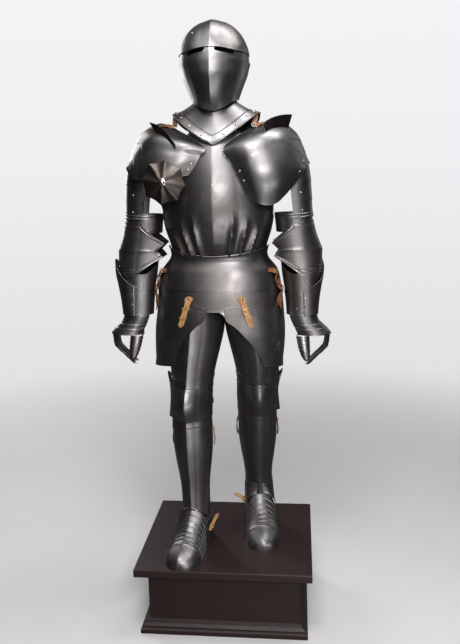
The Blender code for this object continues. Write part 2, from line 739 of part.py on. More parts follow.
def build_arm(side, steel):
    name = "right" if side == RIGHT else "left"
    flip = side == RIGHT
    ring = steps(0, 360, 20)

    def tube(title, low, high, rows, lift=0.0):
        def place(angle, share):
            bottom = low(angle)
            return arm_point(side, ARM, bottom + (high(angle) - bottom) * share, angle, lift)
        sheet(title + "_" + name, steel, ring, steps(0, 1, rows), place, flip=flip)

    tube("turner_ring", lambda angle: 1.3250, lambda angle: 1.3880, 2)
    tube("vambrace", lambda angle: 1.0750, lambda angle: 1.2400 - 0.050 * bell((angle + 110) % 360, 90, 90), 4)

    def cuff(angle, share):
        outward = sine(angle - CUFF_TURN[side])
        top = 1.1500 + 0.030 * outward + 0.058 * max(0.0, outward) ** 3
        z = 1.0530 + (top - 1.0530) * share
        flare = 0.018 * max(0.0, outward) * (z - 1.0530) / 0.187
        return arm_point(side, ARM, z, angle, 0.0024 + flare)

    sheet("gauntlet_cuff_" + name, steel, ring, steps(0, 1, 4), cuff, flip=flip)

    # Three lames in one piece: each starts a step further out than the one below it
    def lames(angle, level):
        lame = int(level)
        z = 1.3740 + 0.0560 * level
        return arm_point(side, ARM, z, angle, 0.0024 + 0.0012 * lame)

    lame_levels = [0.0, 0.999, 1.0, 1.999, 2.0, 2.999]
    sheet("upper_arm_lames_" + name, steel, steps(0, 180, 10), lame_levels, lames, flip=flip)

    couter_around = steps(-54, 234, 16)

    def couter(angle, share):
        inward = max(0.0, -angle, angle - 180) / 54
        top = 1.3620 - 0.070 * inward**0.8
        low = 1.1850 - 0.006 * max(0.0, sine(angle)) + 0.062 * inward
        crease = 1.2680
        if share <= 0.5:
            z = low + (crease - low) * share * 2
        else:
            z = crease + (top - crease) * (share - 0.5) * 2
        notch = 0.022 * inward**4 * (1 - abs(share - 0.5) * 2)
        swell = 0.016 * (1 - abs(share - 0.5) * 2) ** 1.4
        point = arm_point(side, ARM, z, angle, 0.0024, swell)
        wing = 0.60 * inward * (read(ARM, z, "half_width") + LAYER) * sine(angle) + notch
        point.x += side * wing
        point.y -= 0.010 * inward * (1 if angle < 90 else -1)
        return point

    sheet("couter_" + name, steel, couter_around, [0.0, 0.25, 0.5, 0.75, 1.0], couter, flip=flip)

    def hand_back(angle, share):
        return arm_point(side, HAND, 0.9850 + 0.081 * share, angle)

    sheet("hand_plate_" + name, steel, steps(-60, 150, 14), steps(0, 1, 4), hand_back, flip=flip)

    def fingers(angle, share):
        z = 0.882 + 0.112 * share
        groove = 0.0040 * abs(cosine(4 * (angle - 45))) * (1 - share)
        return arm_point(side, HAND, z, angle, -0.0037 - groove)

    sheet("fingers_" + name, steel, steps(45, 135, 8), steps(0, 1, 5), fingers, flip=flip)

    def thumb(angle, share):
        return arm_point(side, THUMB, 0.906 + 0.078 * share, angle)

    sheet("thumb_" + name, steel, steps(-110, 110, 8), steps(0, 1, 3), thumb, flip=flip)


def build_leg(side, steel):
    name = "right" if side == RIGHT else "left"
    flip = side == RIGHT

    def plate(title, around, rows, place):
        sheet(title + "_" + name, steel, around, steps(0, 1, rows), place, flip=flip)

    def cuisse(angle, level):
        top = 1.0350 + 0.045 * bell(angle, -35, 75) - 0.05 * bell(abs(angle), 140, 60)
        low = CUISSE_LOW[min(level, 2)]
        return leg_point(side, low + (top - low) * max(0, level - 2) / 3, angle)

    def upper_lame(angle, level):
        return leg_point(side, CUISSE_LOW[level], angle, 0.0024)

    def poleyn(angle, share):
        wing = bell(angle, 92, 34)
        low = 0.7020 - 0.006 * wing
        top = 0.8120 + 0.040 * wing
        z = low + (top - low) * share
        bulge = 0.016 * math.sin(math.pi * share)
        point = leg_point(side, z, angle, 0.0046, bulge)
        outward = wing * 0.010 * abs(2 * share - 1)
        point.x += side * outward
        return point

    def lower_lame(angle, share):
        return leg_point(side, 0.6700 + 0.042 * share, angle, 0.0022)

    def greave(angle, share):
        low = GREAVE_LOW + 0.0480 * max(0.0, cosine(angle)) ** 1.5
        return leg_point(side, low + (0.6850 - low) * share, angle)

    front = steps(-105, 105, 14)
    sheet("cuisse_" + name, steel, steps(-135, 135, 18), list(range(6)), cuisse, flip=flip)
    sheet("knee_lame_" + name, steel, steps(-120, 120, 16), list(range(3)), upper_lame, flip=flip)
    plate("poleyn", steps(-120, 120, 16), 4, poleyn)
    plate("shin_lame", front, 2, lower_lame)
    plate("greave_front", [-104.7] + front[1:-1] + [104.7], 6, greave)
    plate("greave_back", [105.3] + steps(120, 240, 8) + [254.7], 6, greave)


# The foot's crest and half width along its axis, from the ankle towards the toes; a low fall
# keeps the section high towards the sides
FOOT = table("along half_width crest fall", [
    (0.052, 0.0500, 0.1390, 0.30),
    (0.062, 0.0505, 0.1270, 0.36),
    (0.080, 0.0520, 0.1050, 0.50),
    (0.110, 0.0550, 0.0770, 0.70),
    (0.150, 0.0560, 0.0530, 0.75),
    (0.180, 0.0490, 0.0400, 0.75),
    (0.200, 0.0360, 0.0290, 0.75),
    (0.209, 0.0220, 0.0210, 0.75),
    (0.2135, 0.0000, 0.0120, 0.75),
])
# The sabaton's plates in one piece, from the toe cap up over the lames: each starts a step out
SABATON = table("level along lift", [
    (0, 0.2135, 0.0030),
    (1, 0.2090, 0.0030),
    (2, 0.2000, 0.0030),
    (3, 0.1850, 0.0030),
    (4, 0.1600, 0.0030),
    (5, 0.1350, 0.0030),
    (6, 0.1060, 0.0030),
    (7, 0.1056, 0.0016),
    (8, 0.0890, 0.0000),
    (9, 0.0886, 0.0016),
    (10, 0.0720, 0.0000),
    (11, 0.0716, 0.0016),
    (12, 0.0530, 0.0000),
])
HEEL_RADIUS = 0.0500
HEEL_MIDDLE = -0.0330
HEEL_END = 0.0521
HEEL_TAPER = 0.004


def build_foot(side, steel):
    name = "right" if side == RIGHT else "left"
    ankle = Vector((read(STANCE[side], 0.300, "x"), read(STANCE[side], 0.300, "y"), 0.0))
    turn = side * FEET[side]
    toward = Vector((sine(turn), -cosine(turn), 0.0))
    outward = Vector((cosine(turn), sine(turn), 0.0))
    ground = PLINTH_HEIGHT + SEAM

    def sabaton(angle, level):
        row = SABATON[level]
        half = (read(FOOT, row.along, "half_width") + row.lift) * (0.0 if level == 0 else 1.0)
        height = read(FOOT, row.along, "crest") + row.lift
        height *= max(0.0, cosine(angle)) ** read(FOOT, row.along, "fall")
        point = ankle + toward * row.along + outward * half * sine(angle)
        point.z = ground + height
        return point

    sheet("sabaton_" + name, steel, steps(-90, 90, 12), [row.level for row in SABATON], sabaton)

    # The heel's wall runs back along both sides and round the heel
    def heel(station, share):
        round_part = max(-90, min(90, station))
        radius = HEEL_RADIUS - HEEL_TAPER * share
        middle = HEEL_MIDDLE + 4 * HEEL_TAPER * share
        along = middle - radius * cosine(round_part)
        along += (HEEL_END - middle) * (abs(station) - abs(round_part)) / 90
        point = ankle + outward * radius * sine(round_part) + toward * along
        base = ground + SEAM
        point.z = base + (GREAVE_LOW - SEAM - base) * share
        return point

    sheet("heel_" + name, steel, [-180, -135] + steps(-90, 90, 8) + [135, 180], steps(0, 1, 3), heel)


for old in list(bpy.data.objects):
    bpy.data.objects.remove(old, do_unlink=True)
ARMOUR = bpy.data.collections.new("suit_of_armour")
bpy.context.scene.collection.children.link(ARMOUR)
CUTTERS = bpy.data.collections.new("cutters")
bpy.context.scene.collection.children.link(CUTTERS)
STEEL_FINISH = material("dark_steel", (0.16, 0.15, 0.145), 0.30, 1.0)
WOOD = material("mahogany", (0.045, 0.018, 0.014), 0.35, 0.0)
TAN = material("tan_leather", (0.42, 0.23, 0.10), 0.6, 0.0)
build_plinth(WOOD)
build_helmet(STEEL_FINISH)
build_gorget(STEEL_FINISH)
build_trunk(STEEL_FINISH)
build_besagew(STEEL_FINISH)
for body_side in (RIGHT, LEFT):
    build_tasset(body_side, STEEL_FINISH, TAN)
    build_shoulder(body_side, STEEL_FINISH)
    build_arm(body_side, STEEL_FINISH)
    build_leg(body_side, STEEL_FINISH)
    build_foot(body_side, STEEL_FINISH)
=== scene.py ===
"""A suit of plate armour on its wooden plinth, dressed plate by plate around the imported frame.

Metres, +Z up. The armour faces -Y and the wearer's left is +X. Every plate is a patch of the form
that it covers, laid over a finer grid than the solid it stands for, with its rolls, ridges and rivets.
Angles go round a form in degrees, from 0 at the front to 90 at the outer side of a limb.
"""

import logging
import math
from dataclasses import dataclass, field
from enum import Enum
from typing import Callable, Dict, List, Optional, Sequence, Tuple, Union

import bmesh
import bpy
import numpy as np
from mathutils import Matrix, Vector


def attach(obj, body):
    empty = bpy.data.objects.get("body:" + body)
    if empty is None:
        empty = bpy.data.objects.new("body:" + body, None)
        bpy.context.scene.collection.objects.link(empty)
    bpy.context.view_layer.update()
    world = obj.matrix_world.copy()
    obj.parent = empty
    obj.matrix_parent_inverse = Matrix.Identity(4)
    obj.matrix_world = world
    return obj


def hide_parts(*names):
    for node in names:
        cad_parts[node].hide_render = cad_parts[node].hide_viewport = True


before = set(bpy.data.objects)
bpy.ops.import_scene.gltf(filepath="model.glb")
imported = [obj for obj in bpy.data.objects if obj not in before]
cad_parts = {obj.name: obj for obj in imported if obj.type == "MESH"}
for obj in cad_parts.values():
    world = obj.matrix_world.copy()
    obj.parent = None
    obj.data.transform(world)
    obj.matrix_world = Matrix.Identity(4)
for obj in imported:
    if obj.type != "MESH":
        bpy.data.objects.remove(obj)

LOG = logging.getLogger("armour")
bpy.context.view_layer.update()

Place = Callable[[float, float], Vector]
Measure = Callable[[float, float], float]
Test = Callable[[float, float], bool]
Colour = Tuple[float, float, float]

STEEL = 0.0015
LAYER = 0.0020
LEATHER = 0.0022
SEAM = 0.0003
MIDLINE = -0.018
PLINTH_HEIGHT = 0.241
MERGE = 0.00002
# The edge attribute: real edge wear, and on steel a painted edge highlight.
WEAR_AND_HIGHLIGHT = "wear"


class Side(Enum):
    """The wearer's two sides, by the sign of X."""

    RIGHT = -1
    LEFT = 1

    @property
    def label(self) -> str:
        """The side's name at the end of a piece's name."""
        return self.name.lower()


class Body(Enum):
    """The bodies of the frame that pieces ride on."""

    ARMOUR = "armour"
    VISOR = "visor"


class Edge(Enum):
    """The edges of a sheet's grid that may be rolled."""

    BOTTOM = "bottom"
    TOP = "top"
    START = "start"


class Finish(Enum):
    """The finishes of the suit, with the record's material slot where there is one."""

    STEEL = "dark_steel"
    RUSSET = "russet_steel"
    BRIGHT = "bright_rivets"
    TAN = "tan_leather"
    BROWN = "brown_leather"
    BRASS = "brass"
    WOOD = "mahogany"


SLOTS = {Finish.STEEL: "dark_steel", Finish.RUSSET: "dark_steel", Finish.TAN: "tan_leather"}


class Profile:
    """A short table of sections, read along a smooth curve through its rows."""

    def __init__(self, columns: str, rows: Sequence[Sequence[float]]) -> None:
        """Takes the names of the columns and the rows; the first column is a row's place."""
        self.places = [row[0] for row in rows]
        self.columns = {name: [row[index] for row in rows] for index, name in enumerate(columns.split())}
        self.slopes = {name: self._slopes(values) for name, values in self.columns.items()}

    def _slopes(self, values: Sequence[float]) -> List[float]:
        """The slope of one column at each row, from its neighbours."""
        slopes = []
        last = len(values) - 1
        for row in range(len(values)):
            before = max(row - 1, 0)
            after = min(row + 1, last)
            slopes.append((values[after] - values[before]) / (self.places[after] - self.places[before]))
        return slopes

    def read(self, at: float, column: str) -> float:
        """The value of a column at a place between the rows."""
        places = self.places
        at = min(max(at, places[0]), places[-1])
        index = 0
        while index < len(places) - 2 and at > places[index + 1]:
            index += 1
        values = self.columns[column]
        slopes = self.slopes[column]
        span = places[index + 1] - places[index]
        t = (at - places[index]) / span
        value = (2 * t**3 - 3 * t**2 + 1) * values[index]
        value += (t**3 - 2 * t**2 + t) * span * slopes[index]
        value += (3 * t**2 - 2 * t**3) * values[index + 1]
        value += (t**3 - t**2) * span * slopes[index + 1]
        return value


def sine(degrees: float) -> float:
    """The sine of an angle in degrees."""
    return math.sin(math.radians(degrees))


def cosine(degrees: float) -> float:
    """The cosine of an angle in degrees."""
    return math.cos(math.radians(degrees))


def bell(value: float, middle: float, reach: float) -> float:
    """A smooth bump: 1 at the middle, 0 from the reach on."""
    away = min(abs(value - middle) / reach, 1.0)
    return 0.5 + 0.5 * math.cos(math.pi * away)


def ramp(value: float, start: float, end: float) -> float:
    """A smooth step from 0 at start to 1 at end."""
    t = min(1.0, max(0.0, (value - start) / (end - start)))
    return t * t * (3 - 2 * t)


def crease(angle: float, height: float = 0.0060, reach: float = 24.0) -> float:
    """A sharp keel that stands out along a plate's middle."""
    return height * max(0.0, 1 - abs(angle) / reach)


def sawtooth(value: float, pitch: float, drop: float = 0.05) -> float:
    """The slope of overlapping lames: up to 1 along each, then down over a short share of it."""
    part = (value / pitch) % 1
    return part / (1 - drop) if part < 1 - drop else (1 - part) / drop


def steps(start: float, end: float, count: int) -> List[float]:
    """Evenly spaced stations from start to end, both included."""
    return [start + (end - start) * index / count for index in range(count + 1)]


def refine(stations: Sequence[float], widest: float) -> List[float]:
    """The same stations, with others between them so that no step is wider than the widest."""
    finer = [stations[0]]
    for start, end in zip(stations, stations[1:]):
        count = max(1, math.ceil(abs(end - start) / widest - 1e-6))
        finer += [start + (end - start) * index / count for index in range(1, count)] + [end]
    return finer


def along_marks(marks: Sequence[float], level: float) -> float:
    """The value between two marks at a level counted in marks."""
    index = min(int(level), len(marks) - 2)
    return marks[index] + (marks[index + 1] - marks[index]) * (level - index)


class Signal:
    """An output of a shader graph. Python's operators on it add Math nodes."""

    def __init__(self, graph: "Graph", socket: bpy.types.NodeSocket) -> None:
        """Wraps one output socket of a graph."""
        self.graph = graph
        self.socket = socket

    def _math(self, operation: str, first: "Number", second: "Number") -> "Signal":
        """A Math node on two numbers or signals."""
        return self.graph.node("ShaderNodeMath", {"operation": operation}, {0: first, 1: second})

    def __add__(self, other: "Number") -> "Signal":
        """Adds a number or a signal."""
        return self._math("ADD", self, other)

    def __radd__(self, other: "Number") -> "Signal":
        """Adds this signal to a number."""
        return self._math("ADD", other, self)

    def __sub__(self, other: "Number") -> "Signal":
        """Takes a number or a signal away."""
        return self._math("SUBTRACT", self, other)

    def __rsub__(self, other: "Number") -> "Signal":
        """Takes this signal from a number."""
        return self._math("SUBTRACT", other, self)

    def __mul__(self, other: "Number") -> "Signal":
        """Multiplies by a number or a signal."""
        return self._math("MULTIPLY", self, other)

    def __rmul__(self, other: "Number") -> "Signal":
        """Multiplies a number by this signal."""
        return self._math("MULTIPLY", other, self)


Number = Union[float, Signal]


class Graph:
    """The node tree of one material or of the world."""

    def __init__(self, tree: bpy.types.NodeTree) -> None:
        """Empties the tree and keeps it."""
        self.tree = tree
        tree.nodes.clear()

    def node(self, kind: str, settings: Optional[dict] = None, inputs: Optional[dict] = None,
             output: Union[int, str] = 0) -> Optional[Signal]:
        """Adds one node.

        Args:
            kind: The node's type.
            settings: Its properties, set first; stops are those of a colour ramp, place and colour.
            inputs: Values or signals by the name or number of their socket.
            output: The name or number of the output that is wanted.

        Returns:
            The output as a signal, or None for a node that has no outputs.
        """
        node = self.tree.nodes.new(kind)
        for name, value in (settings or {}).items():
            if name == "stops":
                self._set_stops(node, value)
            else:
                setattr(node, name, value)
        for socket, value in (inputs or {}).items():
            if isinstance(value, Signal):
                self.tree.links.new(value.socket, node.inputs[socket])
            else:
                node.inputs[socket].default_value = value
        return Signal(self, node.outputs[output]) if node.outputs else None

    @staticmethod
    def _set_stops(node: bpy.types.Node, stops: Sequence[Tuple[float, Colour]]) -> None:
        """Gives a colour ramp its stops."""
        elements = node.color_ramp.elements
        while len(elements) < len(stops):
            elements.new(0.5)
        for element, (place, colour) in zip(elements, stops):
            element.position = place
            element.color = (*colour, 1.0)

    def mix(self, share: Number, first: Union[Colour, Signal], second: Union[Colour, Signal]) -> Signal:
        """A colour between two, by a share."""
        inputs = {socket: side if isinstance(side, Signal) else (*side, 1.0)
                  for socket, side in ((6, first), (7, second))}
        return self.node("ShaderNodeMix", {"data_type": "RGBA"}, {0: share, **inputs}, 2)

    def noise(self, place: Signal, scale: float, detail: float = 3.0,
              stretch: Tuple[float, float, float] = (1.0, 1.0, 1.0)) -> Signal:
        """A noise from 0 to 1 at a place, stretched along an axis where its number is small."""
        if stretch != (1.0, 1.0, 1.0):
            place = self.node("ShaderNodeMapping", None, {"Vector": place, "Scale": stretch})
        inputs = {"Vector": place, "Scale": scale, "Detail": detail}
        return self.node("ShaderNodeTexNoise", None, inputs, "Fac")

    def cells(self, place: Signal, scale: float, smoothness: float) -> Signal:
        """How far a place is from the middle of its cell, with the cells' borders smoothed."""
        inputs = {"Vector": place, "Scale": scale, "Smoothness": smoothness}
        return self.node("ShaderNodeTexVoronoi", {"feature": "SMOOTH_F1"}, inputs, "Distance")

    def place(self) -> Signal:
        """The place on the object."""
        return self.node("ShaderNodeTexCoord", output="Object")

    def wear(self) -> Signal:
        """How near a point lies to a sheet's edges, 1 at them: edge wear, and on steel a painted edge
        highlight.
        """
        return self.node("ShaderNodeAttribute", {"attribute_name": WEAR_AND_HIGHLIGHT}, output="Fac")

    def spread(self, signal: Signal, low: float, high: float) -> Signal:
        """A signal stretched so that low becomes 0 and high becomes 1, and held there."""
        return self.node("ShaderNodeMapRange", {"interpolation_type": "SMOOTHSTEP"},
                         {"Value": signal, "From Min": low, "From Max": high})

    def bump(self, height: Signal, distance: float, strength: float, **more: Signal) -> Signal:
        """A normal roughened by a height, on top of another normal if one is given."""
        return self.node("ShaderNodeBump", None,
                         {"Height": height, "Distance": distance, "Strength": strength, **more})

    def surface(self, inputs: dict) -> None:
        """Ends a material's graph in a Principled shader."""
        shader = self.node("ShaderNodeBsdfPrincipled", None, inputs)
        self.node("ShaderNodeOutputMaterial", None, {"Surface": shader})


def new_graph(name: str) -> Tuple[bpy.types.Material, Graph]:
    """A new material and its empty graph."""
    material = bpy.data.materials.new(name)
    material.use_nodes = True
    return material, Graph(material.node_tree)


@dataclass(frozen=True)
class SteelFinish:
    """Satin steel under a thin brown patina, painted bright along its edges: rubbed wear and a painted edge
    highlight.
    """

    name: str = "satin_steel"
    plain: Colour = (0.250, 0.243, 0.250)
    patina: Colour = (0.165, 0.146, 0.136)
    # Colour of rubbed scratches, and of the edges' wear and painted edge highlight.
    rubbed_and_highlight: Colour = (0.50, 0.485, 0.475)
    roughness: float = 0.32
    hammer_scale: float = 38.0
    hammer_depth: float = 0.00012
    scratch_depth: float = 0.00006

    def build(self) -> bpy.types.Material:
        """Makes the material."""
        material, graph = new_graph(self.name)
        place = graph.place()
        clouds = graph.noise(place, 4.5, 4.0)
        stains = graph.spread(graph.noise(place, 26.0, 5.0), 0.42, 0.72)
        grain = graph.noise(place, 900.0, 2.0)
        scratches = graph.noise(place, 420.0, 2.0, (1.0, 1.0, 0.035))
        cross_scratches = graph.noise(place, 380.0, 2.0, (0.03, 0.3, 1.0))
        # Mask of the edges: rubbed wear and a painted edge highlight, also a little less rough.
        rubbed_and_highlight = graph.spread(graph.wear() + clouds * 0.25, 0.55, 1.15)
        tone = graph.spread(clouds + stains * 0.10, 0.30, 0.85)
        colour = graph.mix(tone, self.plain, self.patina)
        colour = graph.mix(graph.spread(scratches, 0.60, 0.78) * 0.22, colour, self.rubbed_and_highlight)
        # The edges' wear and painted edge highlight mixed into the colour.
        colour = graph.mix(rubbed_and_highlight * 0.45, colour, self.rubbed_and_highlight)
        roughness = self.roughness + clouds * 0.10 + stains * 0.07 + grain * 0.05 - rubbed_and_highlight * 0.06
        dents = graph.cells(place, self.hammer_scale, 1.0)
        hammered = graph.bump(dents * 0.55 + clouds * 0.8, self.hammer_depth, 0.35)
        fine = scratches * 0.5 + cross_scratches * 0.4 + grain * 0.25
        normal = graph.bump(fine, self.scratch_depth, 0.35, Normal=hammered)
        graph.surface({"Base Color": colour, "Metallic": 1.0, "Roughness": roughness, "Normal": normal})
        return material


@dataclass(frozen=True)
class BrightFinish:
    """Polished metal of the rivet heads and buckles."""

    name: str
    plain: Colour
    dull: Colour
    roughness: float = 0.22

    def build(self) -> bpy.types.Material:
        """Makes the material."""
        material, graph = new_graph(self.name)
        place = graph.place()
        tarnish = graph.spread(graph.noise(place, 160.0, 4.0), 0.35, 0.75)
        fine = graph.noise(place, 1400.0, 2.0)
        graph.surface({
            "Base Color": graph.mix(tarnish, self.plain, self.dull),
            "Metallic": 1.0,
            "Roughness": self.roughness + tarnish * 0.18,
            "Normal": graph.bump(fine, 0.00005, 0.4)})
        return material


@dataclass(frozen=True)
class LeatherFinish:
    """Vegetable-tanned strap leather, darker where it is handled, with burnished edges."""

    name: str
    plain: Colour
    handled: Colour
    edge: Colour
    roughness: float = 0.52

    def build(self) -> bpy.types.Material:
        """Makes the material."""
        material, graph = new_graph(self.name)
        place = graph.place()
        clouds = graph.noise(place, 45.0, 4.0)
        pores = graph.cells(place, 720.0, 0.4)
        creases = graph.noise(place, 130.0, 5.0)
        colour = graph.mix(graph.spread(clouds, 0.38, 0.70), self.plain, self.handled)
        colour = graph.mix(graph.spread(graph.wear(), 0.45, 1.0) * 0.8, colour, self.edge)
        colour = graph.mix(graph.spread(pores, 0.25, 0.02) * 0.25, colour, self.edge)
        height = pores * 0.6 + creases * 0.8
        graph.surface({
            "Base Color": colour,
            "Roughness": self.roughness + creases * 0.12,
            "Normal": graph.bump(height, 0.0003, 0.55)})
        return material


@dataclass(frozen=True)
class WoodFinish:
    """Dark varnished mahogany with its grain along X or along Y."""

    name: str
    grain: Tuple[float, float, float]
    dark: Colour = (0.019, 0.0080, 0.0080)
    light: Colour = (0.026, 0.0105, 0.0095)

    def build(self) -> bpy.types.Material:
        """Makes the material."""
        material, graph = new_graph(self.name)
        place = graph.place()
        figure = graph.noise(place, 26.0, 5.0, self.grain)
        streaks = graph.noise(place, 150.0, 3.0, self.grain)
        pores = graph.spread(graph.noise(place, 520.0, 2.0, self.grain), 0.58, 0.70)
        tone = graph.spread(figure * 0.65 + streaks * 0.35, 0.36, 0.66)
        colour = graph.mix(tone, self.dark, self.light)
        colour = graph.mix(pores * 0.55, colour, self.dark)
        roughness = 0.46 + streaks * 0.12 + pores * 0.12
        height = streaks * 0.4 - pores * 0.5
        graph.surface({
            "Base Color": colour,
            "Roughness": roughness,
            "Coat Weight": 0.05,
            "Coat Roughness": 0.22,
            "Normal": graph.bump(height, 0.0003, 0.35)})
        return material


def make_palette() -> Dict[Finish, bpy.types.Material]:
    """Every finish's material."""
    return {
        Finish.STEEL: SteelFinish().build(),
        Finish.RUSSET: SteelFinish("russet_steel", (0.105, 0.090, 0.082), (0.062, 0.050, 0.043),
                                   (0.34, 0.32, 0.30)).build(),
        Finish.BRIGHT: BrightFinish("bright_rivets", (0.62, 0.60, 0.58), (0.36, 0.33, 0.31)).build(),
        Finish.BRASS: BrightFinish("old_brass", (0.72, 0.53, 0.24), (0.42, 0.28, 0.12), 0.28).build(),
        Finish.TAN: LeatherFinish("tan_strap_leather", (0.50, 0.275, 0.115), (0.36, 0.17, 0.065),
                                  (0.13, 0.055, 0.022)).build(),
        Finish.BROWN: LeatherFinish("brown_thong_leather", (0.27, 0.105, 0.042), (0.15, 0.055, 0.024),
                                    (0.045, 0.018, 0.010)).build(),
        Finish.WOOD: WoodFinish("mahogany_along_x", (0.05, 1.0, 1.0)).build(),
    }


PALETTE = make_palette()


def dress(name: str, mesh: bmesh.types.BMesh, finish: Finish, body: Body = Body.ARMOUR,
          stands_for: Sequence[str] = ()) -> bpy.types.Object:
    """Makes a piece from a finished bmesh, which is freed, and joins it to the frame.

    Args:
        name: The piece's name.
        mesh: Its mesh, in place.
        finish: What it is made of.
        body: The body that it rides on.
        stands_for: The nodes of the frame that it takes the place of.

    Returns:
        The piece's object.
    """
    data = bpy.data.meshes.new(name)
    mesh.to_mesh(data)
    mesh.free()
    data.materials.append(PALETTE[finish])
    data.shade_smooth()
    piece = bpy.data.objects.new(name, data)
    bpy.context.scene.collection.objects.link(piece)
    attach(piece, body.value)
    if stands_for:
        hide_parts(*stands_for)
    finish in SLOTS
    LOG.info("%s: %d faces", name, len(data.polygons))
    return piece


@dataclass
class Sheet:
    """A plate or strap laid over stations across and up a form.

    place gives its inner face, and the wall thickens outward. A relief stands proud of it, a lip is
    a narrow turned border along its free edges, and a roll curls one edge over.
    """

    name: str
    across: Sequence[float]
    up: Sequence[float]
    place: Place
    finish: Finish = Finish.STEEL
    body: Body = Body.ARMOUR
    stands_for: Sequence[str] = ()
    thickness: float = STEEL
    flip: bool = False
    relief: Optional[Measure] = None
    gap: Optional[Test] = None
    lip: float = 0.0
    lip_width: float = 0.0040
    roll: Optional[Edge] = None
    roll_radius: float = 0.0021
    rounding: float = 0.00045

    ROLL_STEPS = 13
    ROLL_TURN = 215.0
    SHARP = 17.0
    CORNER = 58.0
    # How far from a free edge the edge wear and painted edge highlight reach.
    WEAR_AND_HIGHLIGHT_REACH = 0.0018
    CROWD = (0.0010, 0.0022, 0.0036, 0.0056)

    def _crowded(self, stations: Sequence[float], points: List[Vector]) -> List[float]:
        """The stations with a few more close to both ends, where lips, edge wear and the painted edge
        highlight need them.
        """
        length = sum((end - start).length for start, end in zip(points, points[1:]))
        if length < 4 * self.CROWD[-1]:
            return list(stations)
        unit = (stations[-1] - stations[0]) / length
        crowded = list(stations)
        for reach in self.CROWD:
            for extra in (stations[0] + reach * unit, stations[-1] - reach * unit):
                if min(abs(extra - station) for station in crowded) > 0.0005 * abs(unit):
                    crowded.append(extra)
        return sorted(crowded, reverse=stations[-1] < stations[0])

    def normals(self, points: np.ndarray) -> np.ndarray:
        """The outward normals of a grid of points, with closed rings joined."""
        wide = points
        if self._closed(points):
            wide = np.concatenate([points[:, -2:-1], points, points[:, 1:2]], axis=1)
        normal = np.cross(np.gradient(wide, axis=1), np.gradient(wide, axis=0))
        if wide is not points:
            normal = normal[:, 1:-1]
        normal /= np.maximum(np.linalg.norm(normal, axis=2, keepdims=True), 1e-12)
        return -normal if self.flip else normal

    @staticmethod
    def _closed(points: np.ndarray) -> bool:
        """True if the grid's first and last stations across meet."""
        return bool(np.abs(points[:, 0] - points[:, -1]).max() < 1e-5)

    def edge_distance(self, points: np.ndarray) -> np.ndarray:
        """How far each point lies from the sheet's nearest free edge."""
        away = np.full(points.shape[:2], 1.0)
        for axis in (0, 1):
            if axis == 1 and self._closed(points):
                continue
            lengths = np.linalg.norm(np.diff(points, axis=axis), axis=2)
            travel = np.cumsum(lengths, axis=axis)
            nought = np.zeros_like(np.take(travel, [0], axis=axis))
            travel = np.concatenate([nought, travel], axis=axis)
            back = np.take(travel, [-1], axis=axis) - travel
            for end, distance in ((0, travel), (-1, back)):
                rim = np.take(points, end, axis=axis)
                if np.abs(rim - rim[0]).max() > 1e-4:
                    away = np.minimum(away, distance)
        return away

    def _curled(self, layers: List[np.ndarray], normal: np.ndarray) -> List[np.ndarray]:
        """The grids with the rolled edge's extra rows; the first grid holds the points."""
        def turn(grid: np.ndarray) -> np.ndarray:
            if self.roll is Edge.START:
                grid = np.swapaxes(grid, 0, 1)
            return grid if self.roll is Edge.TOP else grid[::-1]

        def back(grid: np.ndarray) -> np.ndarray:
            if self.roll is not Edge.TOP:
                grid = grid[::-1]
            return np.swapaxes(grid, 0, 1) if self.roll is Edge.START else grid

        points = turn(layers[0])
        outward = turn(normal)[-1]
        onward = points[-1] - points[-2]
        onward /= np.maximum(np.linalg.norm(onward, axis=1, keepdims=True), 1e-12)
        rows = []
        for step in range(1, self.ROLL_STEPS + 1):
            angle = self.ROLL_TURN * step / self.ROLL_STEPS
            rows.append(points[-1] + onward * self.roll_radius * sine(angle)
                        + outward * self.roll_radius * (1 - cosine(angle)))
        curled = [back(np.concatenate([points, np.array(rows)], axis=0))]
        for layer in layers[1:]:
            turned = turn(layer)
            more = np.repeat(turned[-1:], self.ROLL_STEPS, axis=0)
            curled.append(back(np.concatenate([turned, more], axis=0)))
        return curled

    def build(self) -> "Sheet":
        """Makes the piece and gives the sheet back, so that rivets can be set on it."""
        middle_up = self.up[len(self.up) // 2]
        middle_across = self.across[len(self.across) // 2]
        across = self._crowded(self.across, [self.place(station, middle_up) for station in self.across])
        up = self._crowded(self.up, [self.place(middle_across, station) for station in self.up])
        points = np.array([[tuple(self.place(a, u)) for a in across] for u in up])
        away = self.edge_distance(points)
        normal = self.normals(points)
        stand = np.zeros(away.shape)
        if self.relief:
            stand += np.array([[self.relief(a, u) for a in across] for u in up])
        if self.lip:
            t = np.clip((self.lip_width - away) / 0.0018, 0.0, 1.0)
            stand += self.lip * t * t * (3 - 2 * t)
        points = points + normal * stand[:, :, None]
        # Nearness to the free edges: edge wear, and on steel a painted edge highlight.
        wear = np.exp(-away / self.WEAR_AND_HIGHLIGHT_REACH)
        stations = np.array([[(a, u) for a in across] for u in up])
        if self.roll:
            points, wear, stations = self._curled([points, wear, stations], normal)
        self._make(points, wear, stations)
        return self

